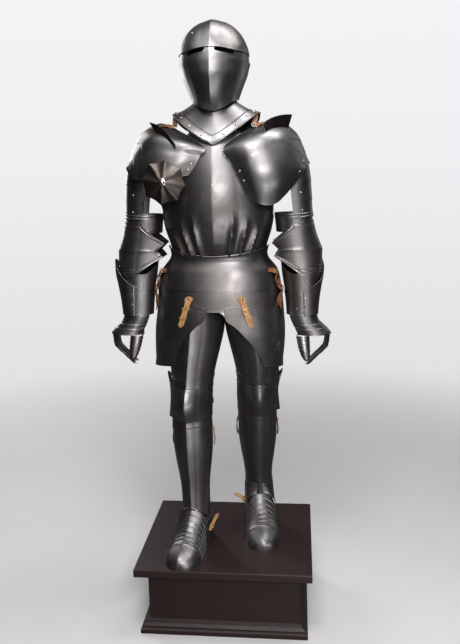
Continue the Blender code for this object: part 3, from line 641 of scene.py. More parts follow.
    def _make(self, points: np.ndarray, wear: np.ndarray, stations: np.ndarray) -> None:
        """The piece over finished grids of points, of wear and of stations."""
        rows, columns = wear.shape
        mesh = bmesh.new()
        bmesh.ops.create_grid(mesh, x_segments=columns - 1, y_segments=rows - 1, size=0.5)
        layer = mesh.verts.layers.float.new(WEAR_AND_HIGHLIGHT)
        spots = {}
        for vertex in mesh.verts:
            row = round((vertex.co.y + 0.5) * (rows - 1))
            column = round((vertex.co.x + 0.5) * (columns - 1))
            spots[vertex] = (row, column)
        if self.gap:
            open_faces = []
            for face in mesh.faces:
                middle = np.mean([stations[spots[vertex]] for vertex in face.verts], axis=0)
                if self.gap(middle[0], middle[1]):
                    open_faces.append(face)
            bmesh.ops.delete(mesh, geom=open_faces, context="FACES")
        for vertex in mesh.verts:
            vertex.co = points[spots[vertex]]
            vertex[layer] = wear[spots[vertex]]
        bmesh.ops.remove_doubles(mesh, verts=mesh.verts, dist=MERGE)
        if self.flip:
            bmesh.ops.reverse_faces(mesh, faces=mesh.faces)
        piece = dress(self.name, mesh, self.finish, self.body, self.stands_for)
        piece.data.set_sharp_from_angle(angle=math.radians(self.SHARP))
        wall = piece.modifiers.new("wall", "SOLIDIFY")
        wall.thickness = self.thickness
        wall.offset = 1.0
        if self.rounding:
            rounding = piece.modifiers.new("rounding", "BEVEL")
            rounding.width = self.rounding
            rounding.segments = 2
            rounding.limit_method = "ANGLE"
            rounding.angle_limit = math.radians(self.CORNER)
        shading = piece.modifiers.new("shading", "WEIGHTED_NORMAL")
        shading.keep_sharp = True

    def outside(self, across: float, up: float) -> Tuple[Vector, Vector]:
        """A point of the sheet's outer face and the normal there."""
        wide = (self.across[-1] - self.across[0]) * 0.004
        high = (self.up[-1] - self.up[0]) * 0.004
        run = self.place(across + wide, up) - self.place(across - wide, up)
        foot = self.place(across, max(self.up[0], up - high))
        rise = self.place(across, min(self.up[-1], up + high)) - foot
        normal = run.cross(rise).normalized() * (-1 if self.flip else 1)
        stand = self.thickness + (self.relief(across, up) if self.relief else 0.0)
        return self.place(across, up) + normal * stand, normal


def plate(title: str, across: Sequence[float], up: Sequence[float], place: Place, **more: object) -> Sheet:
    """A built sheet, which takes the place of the node of its title unless more says otherwise."""
    return Sheet("forged_" + title, across, up, place, **{"stands_for": [title], **more}).build()


@dataclass
class SidePart:
    """A part that the suit has on one of its sides, or on both."""

    side: Side

    @property
    def label(self) -> str:
        """The name of the part's side."""
        return self.side.label

    @property
    def right(self) -> bool:
        """True on the right side, where a grid runs the other way round."""
        return self.side is Side.RIGHT

    def plate(self, title: str, across: Sequence[float], up: Sequence[float], place: Place,
              **more: object) -> Sheet:
        """A built plate of this side, which takes the place of the node of its name."""
        return plate(title + "_" + self.label, across, up, place, **{"flip": self.right, **more})


class Fittings:
    """Small metalwork of one body, gathered into one mesh: rivets, buckles and pins."""

    def __init__(self, name: str, finish: Finish, body: Body = Body.ARMOUR) -> None:
        """Starts an empty mesh."""
        self.name = name
        self.finish = finish
        self.body = body
        self.mesh = bmesh.new()

    def rivet(self, spot: Tuple[Vector, Vector], radius: float = 0.0034, height: float = 0.6) -> None:
        """A domed head on a surface.

        Args:
            spot: The point on the surface and its normal.
            radius: The head's radius.
            height: The dome's height as a share of its radius.
        """
        point, normal = spot
        place = Matrix.Translation(point) @ normal.to_track_quat("Z", "Y").to_matrix().to_4x4()
        place = place @ Matrix.Diagonal((radius, radius, radius * height, 1.0))
        bmesh.ops.create_uvsphere(self.mesh, u_segments=14, v_segments=8, radius=1.0, matrix=place)

    def rivets(self, sheet: Sheet, places: Sequence[Tuple[float, float]], radius: float = 0.0034) -> None:
        """Domed heads at several places of a sheet, across and up."""
        for across, up in places:
            self.rivet(sheet.outside(across, up), radius)

    def wire(self, points: Sequence[Vector], radius: float, closed: bool) -> None:
        """A round wire along points."""
        curve = bpy.data.curves.new("wire", "CURVE")
        curve.dimensions = "3D"
        curve.bevel_depth = radius
        curve.bevel_resolution = 3
        curve.use_fill_caps = not closed
        spline = curve.splines.new("POLY")
        spline.points.add(len(points) - 1)
        for spot, point in zip(spline.points, points):
            spot.co = (*point, 1.0)
        spline.use_cyclic_u = closed
        thing = bpy.data.objects.new("wire", curve)
        bpy.context.scene.collection.objects.link(thing)
        graph = bpy.context.evaluated_depsgraph_get()
        data = bpy.data.meshes.new_from_object(thing.evaluated_get(graph))
        self.mesh.from_mesh(data)
        bpy.data.objects.remove(thing)
        bpy.data.curves.remove(curve)
        bpy.data.meshes.remove(data)

    def buckle(self, middle: Vector, along: Vector, normal: Vector, width: float, length: float,
               radius: float = 0.0011) -> None:
        """A rectangular buckle with rounded corners and its tongue.

        Args:
            middle: The buckle's middle.
            along: The strap's direction.
            normal: The way out of the surface.
            width: Its size across the strap.
            length: Its size along the strap.
            radius: The wire's radius.
        """
        along = along.normalized()
        across = along.cross(normal).normalized()
        points = []
        for turn in range(24):
            angle = turn * 15
            wide = math.copysign(abs(cosine(angle)) ** 0.35, cosine(angle)) * width / 2
            long = math.copysign(abs(sine(angle)) ** 0.35, sine(angle)) * length / 2
            points.append(middle + across * wide + along * long)
        self.wire(points, radius, True)
        lifted = middle + normal * radius
        tongue = [middle - along * length * 0.5, lifted, lifted + along * length * 0.56]
        self.wire(tongue, radius * 0.75, False)

    def build(self) -> None:
        """Makes the gathered piece."""
        bmesh.ops.remove_doubles(self.mesh, verts=self.mesh.verts, dist=MERGE / 2)
        bmesh.ops.recalc_face_normals(self.mesh, faces=self.mesh.faces)
        dress(self.name, self.mesh, self.finish, self.body)


@dataclass
class Strap:
    """A leather strap along a smooth route, with a crowned face and a pointed or square end."""

    name: str
    route: Sequence[Vector]
    normals: Sequence[Vector]
    half_width: float = 0.0075
    thickness: float = LEATHER
    finish: Finish = Finish.TAN
    tip: bool = True

    CROWN = 0.0006
    REACH = 0.05
    TIP = 0.35

    @staticmethod
    def _path(points: Sequence[Vector]) -> Profile:
        """A smooth curve through points, by their order."""
        return Profile("at x y z", [(index, *point) for index, point in enumerate(points)])

    def at(self, station: float, across: float) -> Vector:
        """A point of the strap: its station along the route, and across from -1 to 1."""
        path = self._path(self.route)
        facing = self._path(self.normals)
        last = len(self.route) - 1
        before = max(0.0, station - self.REACH)
        after = min(float(last), station + self.REACH)
        middle = Vector([path.read(station, axis) for axis in "xyz"])
        onward = Vector([path.read(after, axis) - path.read(before, axis) for axis in "xyz"]).normalized()
        normal = Vector([facing.read(station, axis) for axis in "xyz"])
        normal = (normal - onward * normal.dot(onward)).normalized()
        half = self.half_width
        if self.tip:
            half *= max(0.0, 1 - max(0.0, (station - last + self.TIP) / self.TIP) ** 2) ** 0.5
        return middle + onward.cross(normal) * across * half

    def build(self) -> None:
        """Makes the strap."""
        stations = refine(list(range(len(self.route))), 0.1)
        if self.tip:
            stations = [station for station in stations if station < len(self.route) - 1.01]
            stations += [len(self.route) - 1 - reach for reach in (0.1, 0.06, 0.03, 0.012, 0.0)]
        stations = sorted(set(stations))
        Sheet(self.name, steps(-1, 1, 6), stations, lambda across, station: self.at(station, across),
              self.finish, thickness=self.thickness, rounding=0.0005,
              relief=lambda across, station: self.CROWN * (1 - across**2)).build()


def turned(profile: Sequence[Tuple[float, float]], middle: Vector, axis: Vector) -> bmesh.types.BMesh:
    """A turned shape: pairs of radius and place along its axis, spun full round."""
    mesh = bmesh.new()
    points = [mesh.verts.new((radius, 0.0, out)) for radius, out in profile]
    edges = [mesh.edges.new(pair) for pair in zip(points, points[1:])]
    bmesh.ops.spin(mesh, geom=points + edges, cent=(0, 0, 0), axis=(0, 0, 1), angle=math.tau, steps=28,
                   use_merge=True)
    bmesh.ops.remove_doubles(mesh, verts=mesh.verts, dist=MERGE)
    bmesh.ops.recalc_face_normals(mesh, faces=mesh.faces)
    place = Matrix.Translation(middle) @ axis.to_track_quat("Z", "Y").to_matrix().to_4x4()
    bmesh.ops.transform(mesh, matrix=place, verts=mesh.verts)
    return mesh


class Head:
    """The forms of the helmet: the visor's front and the skull."""

    PIVOT = Vector((MIDLINE, 0.008, 1.852))
    DOME_POWER = 2.5
    CROWN_POWER = 2.2
    SKULL_WIDTH = 0.1035
    SKULL_RADIUS = 0.1205
    VISOR_WIDTH = 0.1070
    VISOR_RADIUS = 0.1245
    VISOR_EARS = 9
    KEEL_WIDTH = 45
    VISOR = Profile("z half_width reach keel", [
        (1.7060, 0.0600, 0.1090, 0.014),
        (1.7250, 0.0680, 0.1250, 0.015),
        (1.7450, 0.0735, 0.1380, 0.017),
        (1.7780, 0.0860, 0.1510, 0.019),
        (1.8100, 0.0985, 0.1580, 0.020),
        (1.8400, 0.1055, 0.1550, 0.017),
        (1.8520, 0.1070, 0.1525, 0.015),
        (1.8745, 0.1062, 0.1460, 0.013),
        (1.8860, 0.1050, 0.1415, 0.012),
        (1.9000, 0.1020, 0.1345, 0.012),
        (1.9300, 0.0880, 0.1150, 0.012),
        (1.9500, 0.0715, 0.0960, 0.011),
        (1.9650, 0.0520, 0.0720, 0.009),
        (1.9745, 0.0300, 0.0400, 0.005),
        (1.9775, 0.0000, 0.0000, 0.000),
    ])
    NAPE = Profile("z half_width back", [
        (1.7100, 0.0720, 0.1010),
        (1.7300, 0.0670, 0.0920),
        (1.7500, 0.0700, 0.0910),
        (1.7780, 0.0822, 0.0990),
        (1.8050, 0.0930, 0.1100),
        (1.8320, 0.1005, 0.1185),
        (1.8520, 0.1035, 0.1205),
    ])
    FACE_OPENING = Profile("z angle", [
        (1.7100, 89),
        (1.8500, 89),
        (1.8800, 66),
        (1.9100, 38),
        (1.9350, 12),
        (1.9450, 0),
        (1.9800, 0),
    ])

    @classmethod
    def dome_share(cls, part: float, power: float = DOME_POWER) -> float:
        """What is left of a superellipse's other half axis at this part of the first."""
        return max(0.0, 1 - min(abs(part), 1.0) ** power) ** (1 / power)

    @staticmethod
    def comb(point: Vector) -> float:
        """How far the crease along the crown stands out at a point, by its distance from the midline."""
        return 0.0042 * max(0.0, 1 - abs(point.x - MIDLINE) / 0.026) * ramp(point.z, 1.880, 1.925)

    @classmethod
    def visor(cls, z: float, turn: float, lift: float = 0.0) -> Vector:
        """A point of the visor, keel down the front; a turn of 1 is its rear edge."""
        angle = turn * (90 + cls.VISOR_EARS * bell(z, cls.PIVOT.z, 0.055))
        keel = cls.VISOR.read(z, "keel")
        reach = cls.VISOR.read(z, "reach") - keel
        share = math.copysign(cls.dome_share(sine(angle)), cosine(angle))
        forward = (reach + lift) * share + keel * max(0.0, 1 - abs(angle) / cls.KEEL_WIDTH)
        rise = lift * max(0.0, (z - cls.PIVOT.z) / cls.VISOR_RADIUS) ** 2
        width = cls.VISOR.read(z, "half_width") + lift
        return Vector((MIDLINE + width * sine(angle), cls.PIVOT.y - forward, z + rise))

    @classmethod
    def skull(cls, z: float, turn: float) -> Vector:
        """A point of the skull: round about the pivots' line above it, the nape below."""
        angle = 180 + turn * (180 - max(0.0, cls.FACE_OPENING.read(z, "angle")))
        rise = z - cls.PIVOT.z
        if rise > 0:
            width = cls.SKULL_WIDTH * cls.dome_share(rise / cls.SKULL_RADIUS, cls.CROWN_POWER)
            depth = math.sqrt(max(0.0, cls.SKULL_RADIUS**2 - rise**2))
        else:
            width = cls.NAPE.read(z, "half_width")
            depth = cls.NAPE.read(z, "back")
        share = math.copysign(cls.dome_share(sine(angle)), cosine(angle))
        return Vector((MIDLINE - width * sine(angle), cls.PIVOT.y - depth * share, z))


@dataclass
class Helmet:
    """The close helmet: skull, visor face with two sights, visor brow and pivots."""

    sight_low: float = 1.8722
    sight_high: float = 1.8866
    sight_inner: float = 0.085
    sight_outer: float = 0.45
    sight_drop: float = 0.0085
    chin: float = 1.7060
    cheek: float = 1.80
    brow_lift: float = 0.0030
    nape: float = 1.7272
    pivot_radius: float = 0.0115
    pivot_bore: float = 0.004

    def drop(self, turn: float) -> float:
        """How far the sights' line falls towards the temples."""
        return self.sight_drop * ramp(abs(turn), 0.05, 0.55)

    def sight_half(self, turn: float) -> float:
        """Half the sight's height, rounded off at its two ends."""
        reach = (self.sight_outer - self.sight_inner) / 2
        away = abs(abs(turn) - self.sight_inner - reach) / reach
        half = (self.sight_high - self.sight_low) / 2
        return half * max(0.40, (1 - min(away, 1.0) ** 7) ** 0.5)

    def face(self) -> Sheet:
        """The visor's face, cut by the two sights."""
        def place(turn: float, level: float) -> Vector:
            low = self.chin + 0.038 * abs(sine(90 * turn)) ** 2.2
            sight = (self.sight_low + self.sight_high) / 2 - self.drop(turn)
            half = self.sight_half(turn)
            marks = [low, low + 0.35 * (self.cheek - low), low + 0.7 * (self.cheek - low), 1.8100, 1.8430,
                     sight - half, sight + half, 1.8960]
            return Head.visor(along_marks(marks, level), turn)

        def relief(turn: float, level: float) -> float:
            inside = ramp(abs(turn), 0.07, 0.10) * (1 - ramp(abs(turn), 0.43, 0.47))
            return 0.0010 * inside * bell(level, 5.0, 0.16)

        def sight(turn: float, level: float) -> bool:
            return 5 < level < 6 and self.sight_inner < abs(turn) < self.sight_outer

        stations = [-1, -0.86, -0.73, -0.60, -self.sight_outer, -0.30, -0.16, -self.sight_inner]
        stations += [0] + [-turn for turn in reversed(stations)]
        levels = refine([0, 1, 2, 3, 4, 4.85, 4.93, 5, 6, 7], 0.125)
        return plate("visor_face", refine(stations, 0.02), levels, place, body=Body.VISOR,
                     relief=relief, gap=sight, lip=0.0005)

    def brow(self) -> Sheet:
        """The second plate of the visor, from the sights up over the brow."""
        def place(turn: float, level: float) -> Vector:
            low = self.sight_high - self.drop(turn) - 0.0008
            marks = [low, 1.9050, 1.9300, 1.9500, 1.9650, 1.9745, 1.9775]
            return Head.visor(along_marks(marks, level), turn, self.brow_lift)

        return plate("visor_brow", refine([-1, 0, 1], 0.02), refine(list(range(7)), 0.125), place,
                     body=Body.VISOR, lip=0.0003, relief=lambda turn, level: Head.comb(place(turn, level)))

    def skull(self) -> Sheet:
        """The skull with its nape."""
        def place(turn: float, level: float) -> Vector:
            if level >= 1:
                return Head.skull(level, turn)
            low = self.nape + 0.0160 * (1 - (1 - abs(turn)) ** 0.8)
            return Head.skull(low + (Head.PIVOT.z - low) * level, turn)

        levels = refine([0, 0.95], 0.05)
        levels += refine([Head.PIVOT.z, 1.8800, 1.9100, 1.9350, 1.9450, 1.9600], 0.005)
        levels += [Head.PIVOT.z + Head.SKULL_RADIUS * share for share in (0.93, 0.96, 0.98, 0.993, 1.0)]
        return plate("helm_skull", refine(steps(-1, 1, 18), 0.025), levels, place, lip=0.0005,
                     relief=lambda turn, level: Head.comb(place(turn, level)))

    def build(self) -> None:
        """Builds the helmet."""
        face = self.face()
        brow = self.brow()
        self.skull()
        rivets = Fittings("rivets_visor", Finish.BRIGHT, Body.VISOR)
        rivets.rivets(brow, [(-0.44, 2.20), (0.44, 2.20)], 0.0030)
        rivets.rivets(face, [(-0.72, 4.6), (0.72, 4.6)], 0.0022)
        rivets.rivets(face, [(0.0, 2.2)], 0.0018)
        rivets.build()
        for side in Side:
            self.pivot(side)
            self.chin_strap(side)

    def pivot(self, side: Side) -> None:
        """The turned pin that the visor hangs from, with its domed head."""
        start = Head.VISOR_WIDTH + STEEL + SEAM
        end = Head.SKULL_WIDTH - STEEL
        head = [(0.0, 0.0044), (0.0042, 0.0040), (0.0052, 0.0026), (0.0085, 0.0022), (0.0108, 0.0014),
                (self.pivot_radius, 0.0008), (self.pivot_radius, 0.0), (self.pivot_bore, 0.0)]
        profile = [(radius, start + out) for radius, out in head] + [(self.pivot_bore, end), (0.0, end)]
        dress("turned_visor_pivot_" + side.label, turned(profile, Head.PIVOT, Vector((side.value, 0, 0))),
              Finish.STEEL, stands_for=["visor_pivot_" + side.label])

    def chin_strap(self, side: Side) -> None:
        """The strap and buckle that close the cheek behind the chin."""
        sign = side.value
        route = [Head.skull(1.7920, -sign * 0.80), Head.skull(1.7700, -sign * 0.86),
                 Head.skull(1.7520, -sign * 0.92), Head.skull(1.7400, -sign * 0.97)]
        outward = Vector((sign, -0.10, 0.0)).normalized()
        route = [point + outward * (STEEL + 0.0022 + 0.0012 * index) for index, point in enumerate(route)]
        finish = Finish.TAN if side is Side.LEFT else Finish.BROWN
        Strap("chin_strap_" + side.label, route, [outward] * 4, 0.0085, finish=finish).build()
        steelwork = Fittings("chin_buckle_" + side.label, Finish.BRIGHT)
        onward = route[2] - route[0]
        steelwork.buckle(route[1] + outward * 0.0042, onward, outward, 0.022, 0.015)
        steelwork.rivet((route[0] + outward * 0.0026, outward), 0.0026)
        steelwork.build()


@dataclass
class Gorget:
    """The collar: a front with a riveted border, and a plain back."""

    border: float = 0.57
    border_lift: float = 0.0012
    rivet_angles: Sequence[float] = (-78, -57, -36, -16.5, 0, 16.5, 36, 57, 78)
    rivet_rise: float = 0.235

    NECK_HALF_WIDTH = 0.0640
    NECK_HALF_DEPTH = 0.081
    NECK_MIDDLE = 0.005
    NECK_HEIGHT = 1.7420
    NECK_DIP = 0.030
    RIM_HALF_WIDTH = 0.1430
    RIM_FRONT = 0.1275
    RIM_BACK = 0.135
    RIM_MIDDLE = 0.020
    RIM_HEIGHT = 1.7040
    FRONT_DROP = 0.104
    BACK_DROP = 0.072

    @classmethod
    def collar(cls, angle: float, share: float) -> Vector:
        """A point of the collar, from the neck ring at share 0 to the rim at share 1."""
        across, ahead = sine(angle), cosine(angle)
        ring = Vector((cls.NECK_HALF_WIDTH * across, cls.NECK_MIDDLE - cls.NECK_HALF_DEPTH * ahead,
                       cls.NECK_HEIGHT - cls.NECK_DIP * max(0.0, ahead) ** 2))
        if ahead > 0:
            depth, drop = cls.RIM_FRONT, cls.FRONT_DROP * (1 - abs(across) ** 1.25)
        else:
            depth, drop = cls.RIM_BACK, cls.BACK_DROP * -ahead
        rim = Vector((cls.RIM_HALF_WIDTH * across, cls.RIM_MIDDLE - depth * ahead, cls.RIM_HEIGHT - drop))
        point = ring.lerp(rim, share)
        point.z = rim.z + (ring.z - rim.z) * max(0.0, 1 - share) ** 1.5
        point.x += MIDLINE
        return point

    def build(self) -> None:
        """Builds the collar."""
        def place(angle: float, rise: float) -> Vector:
            return self.collar(angle, 1 - rise)

        def band(angle: float, rise: float) -> float:
            inner = 1 - self.border
            keel = 0.0042 * max(0.0, 1 - abs(angle) / 42) if abs(angle) < 90 else 0.0
            bead = 0.0007 * bell(rise, inner - 0.030, 0.014)
            return keel + bead + self.border_lift * (1 - ramp(rise, inner - 0.008, inner + 0.008))

        shifts = (-0.044, -0.037, -0.030, -0.023, -0.016, -0.008, 0.008, 0.016)
        rises = refine([0, 0.12, 0.28, 0.52, 0.76, 1.0], 0.04) + [1 - self.border + shift for shift in shifts]
        rises.sort()
        front = plate("gorget_front", refine(steps(-91, 91, 14), 2.2), rises, place, relief=band,
                      roll=Edge.BOTTOM, roll_radius=0.0013)
        back = plate("gorget_back", refine(steps(91.4, 268.6, 12), 2.6), rises, place, relief=band,
                     lip=0.0004)
        rivets = Fittings("rivets_gorget", Finish.BRIGHT)
        rivets.rivets(front, [(angle, self.rivet_rise) for angle in self.rivet_angles], 0.0042)
        rivets.rivets(back, [(angle, self.rivet_rise) for angle in steps(105, 255, 6)], 0.0040)
        rivets.build()


class Trunk:
    """The form of the trunk."""

    Y = 0.030
    POWER = 2.2
    STATIONS = [-89.9, -74, -60, -48, -38, -29, -20, -12, -5, 0, 5, 12, 20, 29, 38, 48, 60, 74, 89.9]
    BACK = steps(90.05, 269.95, 12)
    SECTIONS = Profile("z half_width front back", [
        (0.890, 0.2050, 0.1300, 0.1400),
        (0.950, 0.2120, 0.1470, 0.1400),
        (1.000, 0.2140, 0.1590, 0.1400),
        (1.050, 0.2110, 0.1620, 0.1400),
        (1.100, 0.2070, 0.1560, 0.1370),
        (1.150, 0.2020, 0.1470, 0.1320),
        (1.200, 0.1900, 0.1340, 0.1200),
        (1.245, 0.1560, 0.1180, 0.0970),
        (1.280, 0.1560, 0.1340, 0.0960),
        (1.340, 0.1735, 0.1570, 0.1060),
        (1.400, 0.1815, 0.1680, 0.1160),
        (1.460, 0.1760, 0.1660, 0.1220),
        (1.520, 0.1630, 0.1550, 0.1250),
        (1.580, 0.1450, 0.1360, 0.1220),
        (1.620, 0.1200, 0.1200, 0.1130),
        (1.660, 0.0950, 0.1000, 0.1010),
    ])

    @classmethod
    def half_width(cls, z: float) -> float:
        """Half the trunk's width at a height."""
        return cls.SECTIONS.read(z, "half_width")

    @classmethod
    def point(cls, z: float, angle: float, lift: float = 0.0, forward: float = 0.0) -> Vector:
        """A point of the trunk's form, 0 at the front and 90 at the wearer's left side."""
        depth = cls.SECTIONS.read(z, "front" if abs(angle) <= 90 else "back") + lift
        width = cls.half_width(z) + lift
        share = (1 - abs(sine(angle)) ** cls.POWER) ** (1 / cls.POWER)
        share = math.copysign(share, cosine(angle))
        return Vector((MIDLINE + width * sine(angle), cls.Y - depth * share - forward, z))

    @classmethod
    def keel(cls, z: float, angle: float) -> float:
        """How far the front's middle ridge stands out."""
        height = (1 - 0.65 * min(1.0, max(0.0, (z - 1.24) / 0.40))) * min(1.0, max(0.0, (z - 1.255) / 0.040))
        return 0.013 * height * max(0.0, 1 - abs(angle) / 26)


@dataclass
class Cuirass:
    """Breastplate, fluted plackart, backplate, waist plate, fauld and culet."""

    flute_ridges: Sequence[float] = (0.0, 16.0, 28.5, 41.5, 55.0)
    flute_depth: float = 0.0100
    fan: float = 0.34
    plackart_low: float = 1.2480
    plackart_lift: float = 0.0032
    breast_high: float = 1.648
    breast_lap: float = 0.030
    back_high: float = 1.6370
    waist_low: float = 1.1450
    fauld_high: float = 1.1700
    culet_low: float = 1.110
    culet_high: float = 1.266

    HANGING = {
        "waist_strap": (0.0075, (
            (1.206, 58, 0.0100, 0.0), (1.200, 67, 0.0135, 0.2), (1.182, 73, 0.0150, 0.4),
            (1.155, 70, 0.0120, -0.5), (1.128, 74, 0.0150, 0.6), (1.100, 69, 0.0120, -0.6),
            (1.070, 73, 0.0105, 0.4))),
        "waist_thong": (0.0040, (
            (1.196, 71, 0.0150, 0.3), (1.170, 65, 0.0140, -0.4), (1.142, 77, 0.0165, 0.5),
            (1.116, 66, 0.0140, -0.3), (1.086, 62, 0.0120, 0.4))),
    }

    @staticmethod
    def plackart_top(angle: float) -> float:
        """The plackart's upper edge: a cusp in the middle, lower towards the arms."""
        return 1.432 + 0.083 * max(0.0, 1 - abs(angle) / 21) ** 1.5 - 0.055 * bell(abs(angle), 88, 45)

    def flutes(self, angle: float, share: float) -> float:
        """The hollow channels between crisp ridges, which fan out upward and run out at their tops."""
        spread = 1 + self.fan * share
        ridges = [ridge * spread for ridge in self.flute_ridges]
        turn = abs(angle)
        for index, (start, end) in enumerate(zip(ridges, ridges[1:])):
            if start <= turn < end:
                part = (turn - start) / (end - start)
                crest = 1 - math.sin(math.pi * part) if index else max(0.0, 2 * part - 1) ** 3
                top = 0.95 - 0.0060 * turn
                fade = ramp(share, 0.0, 0.08) * max(0.0, min(1.0, 2.2 * (1 - share / top)))
                return self.flute_depth * crest * fade * (1 if index < 3 else 1 - part)
        return 0.0

    def build(self) -> None:
        """Builds the plates of the trunk."""
        stations = refine(Trunk.STATIONS, 2.0)

        def breast(angle: float, share: float) -> Vector:
            top = self.breast_high - 0.11 * max(0.0, (abs(angle) - 46) / 42) ** 1.3
            bottom = self.plackart_top(angle) - self.breast_lap
            z = bottom + (top - bottom) * share
            return Trunk.point(z, angle, forward=Trunk.keel(z, angle))

        def plackart(angle: float, share: float) -> Vector:
            z = self.plackart_low + (self.plackart_top(angle) - self.plackart_low) * share
            return Trunk.point(z, angle, self.plackart_lift, Trunk.keel(z, angle))

        def back(angle: float, share: float) -> Vector:
            top = self.back_high - 0.10 * max(0.0, (134 - min(angle, 360 - angle)) / 42) ** 1.3
            return Trunk.point(self.plackart_low + (top - self.plackart_low) * share, angle)

        def spine(angle: float, share: float) -> float:
            return 0.0035 * bell(angle, 180, 9) * ramp(share, 0.0, 0.2) * (1 - ramp(share, 0.7, 1.0))

        plate("breastplate", stations, steps(0, 1, 34), breast, lip=0.0006)
        middle = plate("plackart", refine(Trunk.STATIONS, 1.3), steps(0, 1, 44), plackart, relief=self.flutes)
        rear = plate("backplate", refine(Trunk.BACK, 2.5), steps(0, 1, 44), back, relief=spine, lip=0.0006)
        rivets = Fittings("rivets_trunk", Finish.BRIGHT)
        rivets.rivets(middle, [(0.0, 0.86)], 0.0032)
        rivets.rivets(rear, [(150, 0.9), (210, 0.9), (100, 0.35), (260, 0.35)], 0.0034)
        rivets.build()
        self.build_waist(stations)
        for side in Side:
            self.side_strap(side)

    def build_waist(self, stations: Sequence[float]) -> None:
        """Builds the flared waist plate, the fauld with its middle tab and the culet."""
        def waist(angle: float, share: float) -> Vector:
            top = 1.2560 + 0.026 * abs(sine(angle)) ** 2
            z = self.waist_low + (top - self.waist_low) * share
            return Trunk.point(z, angle, 0.0042 + 0.0062 * share**3)

        def fauld(angle: float, share: float) -> Vector:
            tab = 0.012 * (1 - ramp(abs(angle), 9.0, 9.6))
            low = 1.0900 + 0.030 * abs(sine(angle)) ** 3 - tab
            return Trunk.point(low + (self.fauld_high - low) * share, angle, 0.0018)

        def culet(angle: float, share: float) -> Vector:
            z = self.culet_low + (self.culet_high - self.culet_low) * share
            return Trunk.point(z, angle, 0.0026 + 0.003 * share)

        half_belt = [9, 9.3, 9.6, 10, 20, 29, 38, 48, 60, 74, 89.9]
        belt = [-angle for angle in reversed(half_belt)] + [0] + half_belt
        front = plate("waist_plate", stations, steps(0, 1, 26), waist, roll=Edge.TOP, roll_radius=0.0014)
        plate("fauld_plate", refine(belt, 2.0), steps(0, 1, 18), fauld, lip=0.0003)
        rear = plate("culet", refine(Trunk.BACK, 2.5), steps(0, 1, 26), culet, lip=0.0005)
        rivets = Fittings("rivets_waist", Finish.STEEL)
        rivets.rivets(front, [(-70, 0.10), (70, 0.10)], 0.0030)
        rivets.rivets(rear, [(angle, 0.16) for angle in steps(120, 240, 4)], 0.0032)
        rivets.build()

    def side_strap(self, side: Side) -> None:
        """The waist's side strap and thong: buckled at the side, with a loose twist in what hangs down."""
        sign = side.value
        for title, (half_width, spots) in self.HANGING.items():
            route = [Trunk.point(z, sign * angle, lift) for z, angle, lift, tilt in spots]
            facing = [Vector((sign * sine(angle), tilt - cosine(angle), 0.15)).normalized()
                      for z, angle, lift, tilt in spots]
            Strap(title + "_" + side.label, route, facing, half_width, finish=Finish.BROWN).build()
            if title == "waist_strap":
                buckles = Fittings("waist_buckle_" + side.label, Finish.BRASS)
                buckles.buckle(route[1] + facing[1] * 0.004, route[2] - route[0], facing[1], 0.020, 0.014)
                buckles.build()


class TassetForm:
    """One tasset from its low point to its top edge, and its strap."""

    SECTIONS = Profile("share inner_x inner_z outer_z", [
        (0.00, 0.150, 0.884, 0.866),
        (0.20, 0.136, 0.928, 0.922),
        (0.40, 0.108, 0.978, 0.980),
        (0.58, 0.066, 1.028, 1.040),
        (0.74, 0.036, 1.052, 1.085),
        (1.00, 0.027, 1.088, 1.142),
    ])
    STRAP = Profile("share x z half_width", [
        (0.00, 0.1150, 1.0260, 0.0060),
        (0.08, 0.1125, 1.0340, 0.0095),
        (0.60, 0.0950, 1.0870, 0.0095),
        (0.80, 0.0870, 1.1110, 0.0105),
        (0.88, 0.0845, 1.1190, 0.0140),
        (1.00, 0.0820, 1.1290, 0.0095),
    ])
    OUTER = 89.7
    LIFT = 0.0043
    HANG = 0.0025
    FLARE = {Side.RIGHT: 0.020, Side.LEFT: 0.0}

    @classmethod
    def plate(cls, side: Side, across: float, share: float) -> Vector:
        """A point of the plate, across from its inner edge at 0 to its outer edge at 1."""
        inner_z = cls.SECTIONS.read(share, "inner_z")
        z = inner_z + (cls.SECTIONS.read(share, "outer_z") - inner_z) * across
        width = Trunk.half_width(inner_z) + cls.LIFT
        inner = math.degrees(math.asin(cls.SECTIONS.read(share, "inner_x") / width))
        lift = cls.LIFT + cls.HANG * max(0.0, 1 - 2 * share) ** 1.5
        lift += cls.FLARE[side] * across**2 * max(0.0, 1 - 1.5 * share)
        return Trunk.point(z, side.value * (inner + (cls.OUTER - inner) * across), lift)

    @classmethod
    def strap(cls, side: Side, across: float, share: float, lift: float = 0.0) -> Vector:
        """A point of the strap's inner face, across from -1 to 1."""
        z = cls.STRAP.read(share, "z")
        x = cls.STRAP.read(share, "x") + across * cls.STRAP.read(share, "half_width")
        angle = math.degrees(math.asin(x / (Trunk.half_width(z) + cls.LIFT)))
        return Trunk.point(z, side.value * angle, cls.LIFT + STEEL + 0.0005 + lift)


